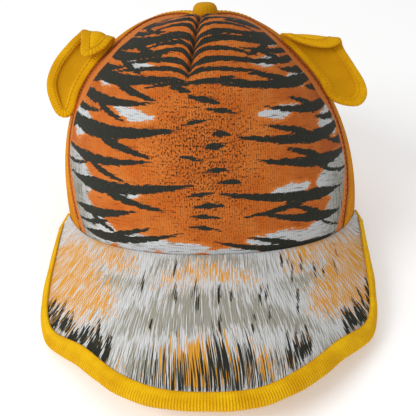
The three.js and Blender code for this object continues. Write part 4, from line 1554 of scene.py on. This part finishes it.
front_panel()
for side, side_name in SIDES:
    net_panel(f"net_side_{side_name}", side, FRONT_SEAM, SIDE_SEAM, f"mesh_side_{side_name}")
    net_panel(f"net_back_{side_name}", side, SIDE_SEAM, BACK_SEAM, f"mesh_back_{side_name}")
peak()
binding_seam = peak_binding()
for side, side_name in SIDES:
    binding_end(side, side_name)
ear_rows = []
for ear in EARS:
    ear_panel(ear)
    ear_rows += ear_border(ear)
thread_rows = rim_band() + opening_binding()
snap_strap()
top_button()
overlock_rows = []
panel_rows = []
for side, side_name in SIDES:
    thread_rows += taped_seam(f"side_seam_{side_name}", SIDE_SEAM, side, SIDE_TAPE_START,
                              SIDE_STITCH_START, SIDE_TAPE_HEIGHT)
    seam_tape(f"front_seam_{side_name}", FRONT_SEAM, side, FRONT_TAPE_WIDTH, FRONT_TAPE_START,
              FRONT_TAPE_HEIGHT, "seam")
    overlock_rows += overlock(side)
    panel_rows.append(seam_line(FRONT_SEAM, side, PANEL_ROW_ASIDE, PANEL_ROW_START,
                                SEAM_STITCH_TOP, PANEL_ROW_LIFT))
arch_top = float(rise_at_height(180, BACK_TAPE_START))
thread_rows += taped_seam("back_seam", BACK_SEAM, 1, arch_top, arch_top, BACK_TAPE_HEIGHT)
stitches("thread_yellow", thread_rows, radius=0.25)
stitches("thread_overlock", overlock_rows, radius=0.26, finish="ear_thread")
stitches("thread_edge", [binding_seam], pitch=1.7, length=1.4, radius=0.22, finish="ear_thread")
stitches("thread_ears", ear_rows, pitch=2.4, length=2.1, radius=0.2, finish="ear_thread")
stitches("thread_orange", panel_rows, finish="dark_thread")


# Camera, given in the hat's upright frame and leant back with it

CAMERA_LENS = 64.7
CAMERA_ABOVE = 28
CAMERA_AZIMUTH = 0.2
CAMERA_ROLL = 0.8
CAMERA_DISTANCE = 451
CAMERA_AIM = (0, 0, 48)
CAMERA_ASIDE = -0.6
CAMERA_DROP = 51.0


def place_camera():
    turn, above, roll = map(math.radians, (CAMERA_AZIMUTH, CAMERA_ABOVE, CAMERA_ROLL))
    level = Vector((math.sin(turn), -math.cos(turn), 0))
    back = level * math.cos(above) + Vector((0, 0, math.sin(above)))
    right = Vector((0, 0, 1)).cross(back).normalized()
    up = back.cross(right)
    place = Vector(CAMERA_AIM) + back * CAMERA_DISTANCE + right * CAMERA_ASIDE - up * CAMERA_DROP
    rolled_right = right * math.cos(roll) - up * math.sin(roll)
    rolled_up = right * math.sin(roll) + up * math.cos(roll)
    turned = Matrix((rolled_right, rolled_up, back)).transposed()
    lean = Matrix.Rotation(-math.radians(REST_TILT), 3, "X")
    data = bpy.data.cameras.new("camera")
    data.lens = CAMERA_LENS
    data.sensor_width = 36
    data.clip_start = 0.01
    camera = bpy.data.objects.new("camera", data)
    bpy.context.collection.objects.link(camera)
    stand = Matrix.Translation(Vector(to_world(np.array(place))))
    camera.matrix_world = stand @ (lean @ turned).to_4x4()
    bpy.context.scene.camera = camera


# Studio, in metres. Columns: name, place, size, power
LIGHTS = (
    ("key", (-0.95, -0.6, 0.95), 0.7, 10),
    ("fill", (-0.1, -1.1, 0.5), 0.9, 1.0),
    ("top", (-0.2, 0.3, 1.3), 1.0, 2),
)
LIGHT_AIM = (0, 0.02, 0.06)
FLOOR_HALF = 3
FLOOR_LEVEL = -0.0003
SKY_STRENGTH = 0.5


def area_light(name, place, size, power):
    data = bpy.data.lights.new(name, "AREA")
    data.shape = "SQUARE"
    data.size = size
    data.energy = power
    light = bpy.data.objects.new(name, data)
    bpy.context.collection.objects.link(light)
    light.location = place
    away = Vector(place) - Vector(LIGHT_AIM)
    light.rotation_euler = away.to_track_quat("Z", "Y").to_euler()


def studio():
    mesh = bpy.data.meshes.new("floor")
    corners = [(x * FLOOR_HALF, y * FLOOR_HALF, FLOOR_LEVEL)
               for x, y in ((-1, -1), (1, -1), (1, 1), (-1, 1))]
    mesh.from_pydata(corners, [], [(0, 1, 2, 3)])
    mesh.materials.append(finishes["floor"].material)
    floor = bpy.data.objects.new("floor", mesh)
    bpy.context.collection.objects.link(floor)
    for light in LIGHTS:
        area_light(*light)
    world = bpy.data.worlds.new("world")
    world.use_nodes = True
    sky = world.node_tree.nodes["Background"]
    sky.inputs["Color"].default_value = (1, 1, 1, 1)
    sky.inputs["Strength"].default_value = SKY_STRENGTH
    bpy.context.scene.world = world
    bpy.context.scene.view_settings.view_transform = "Standard"


place_camera()
studio()
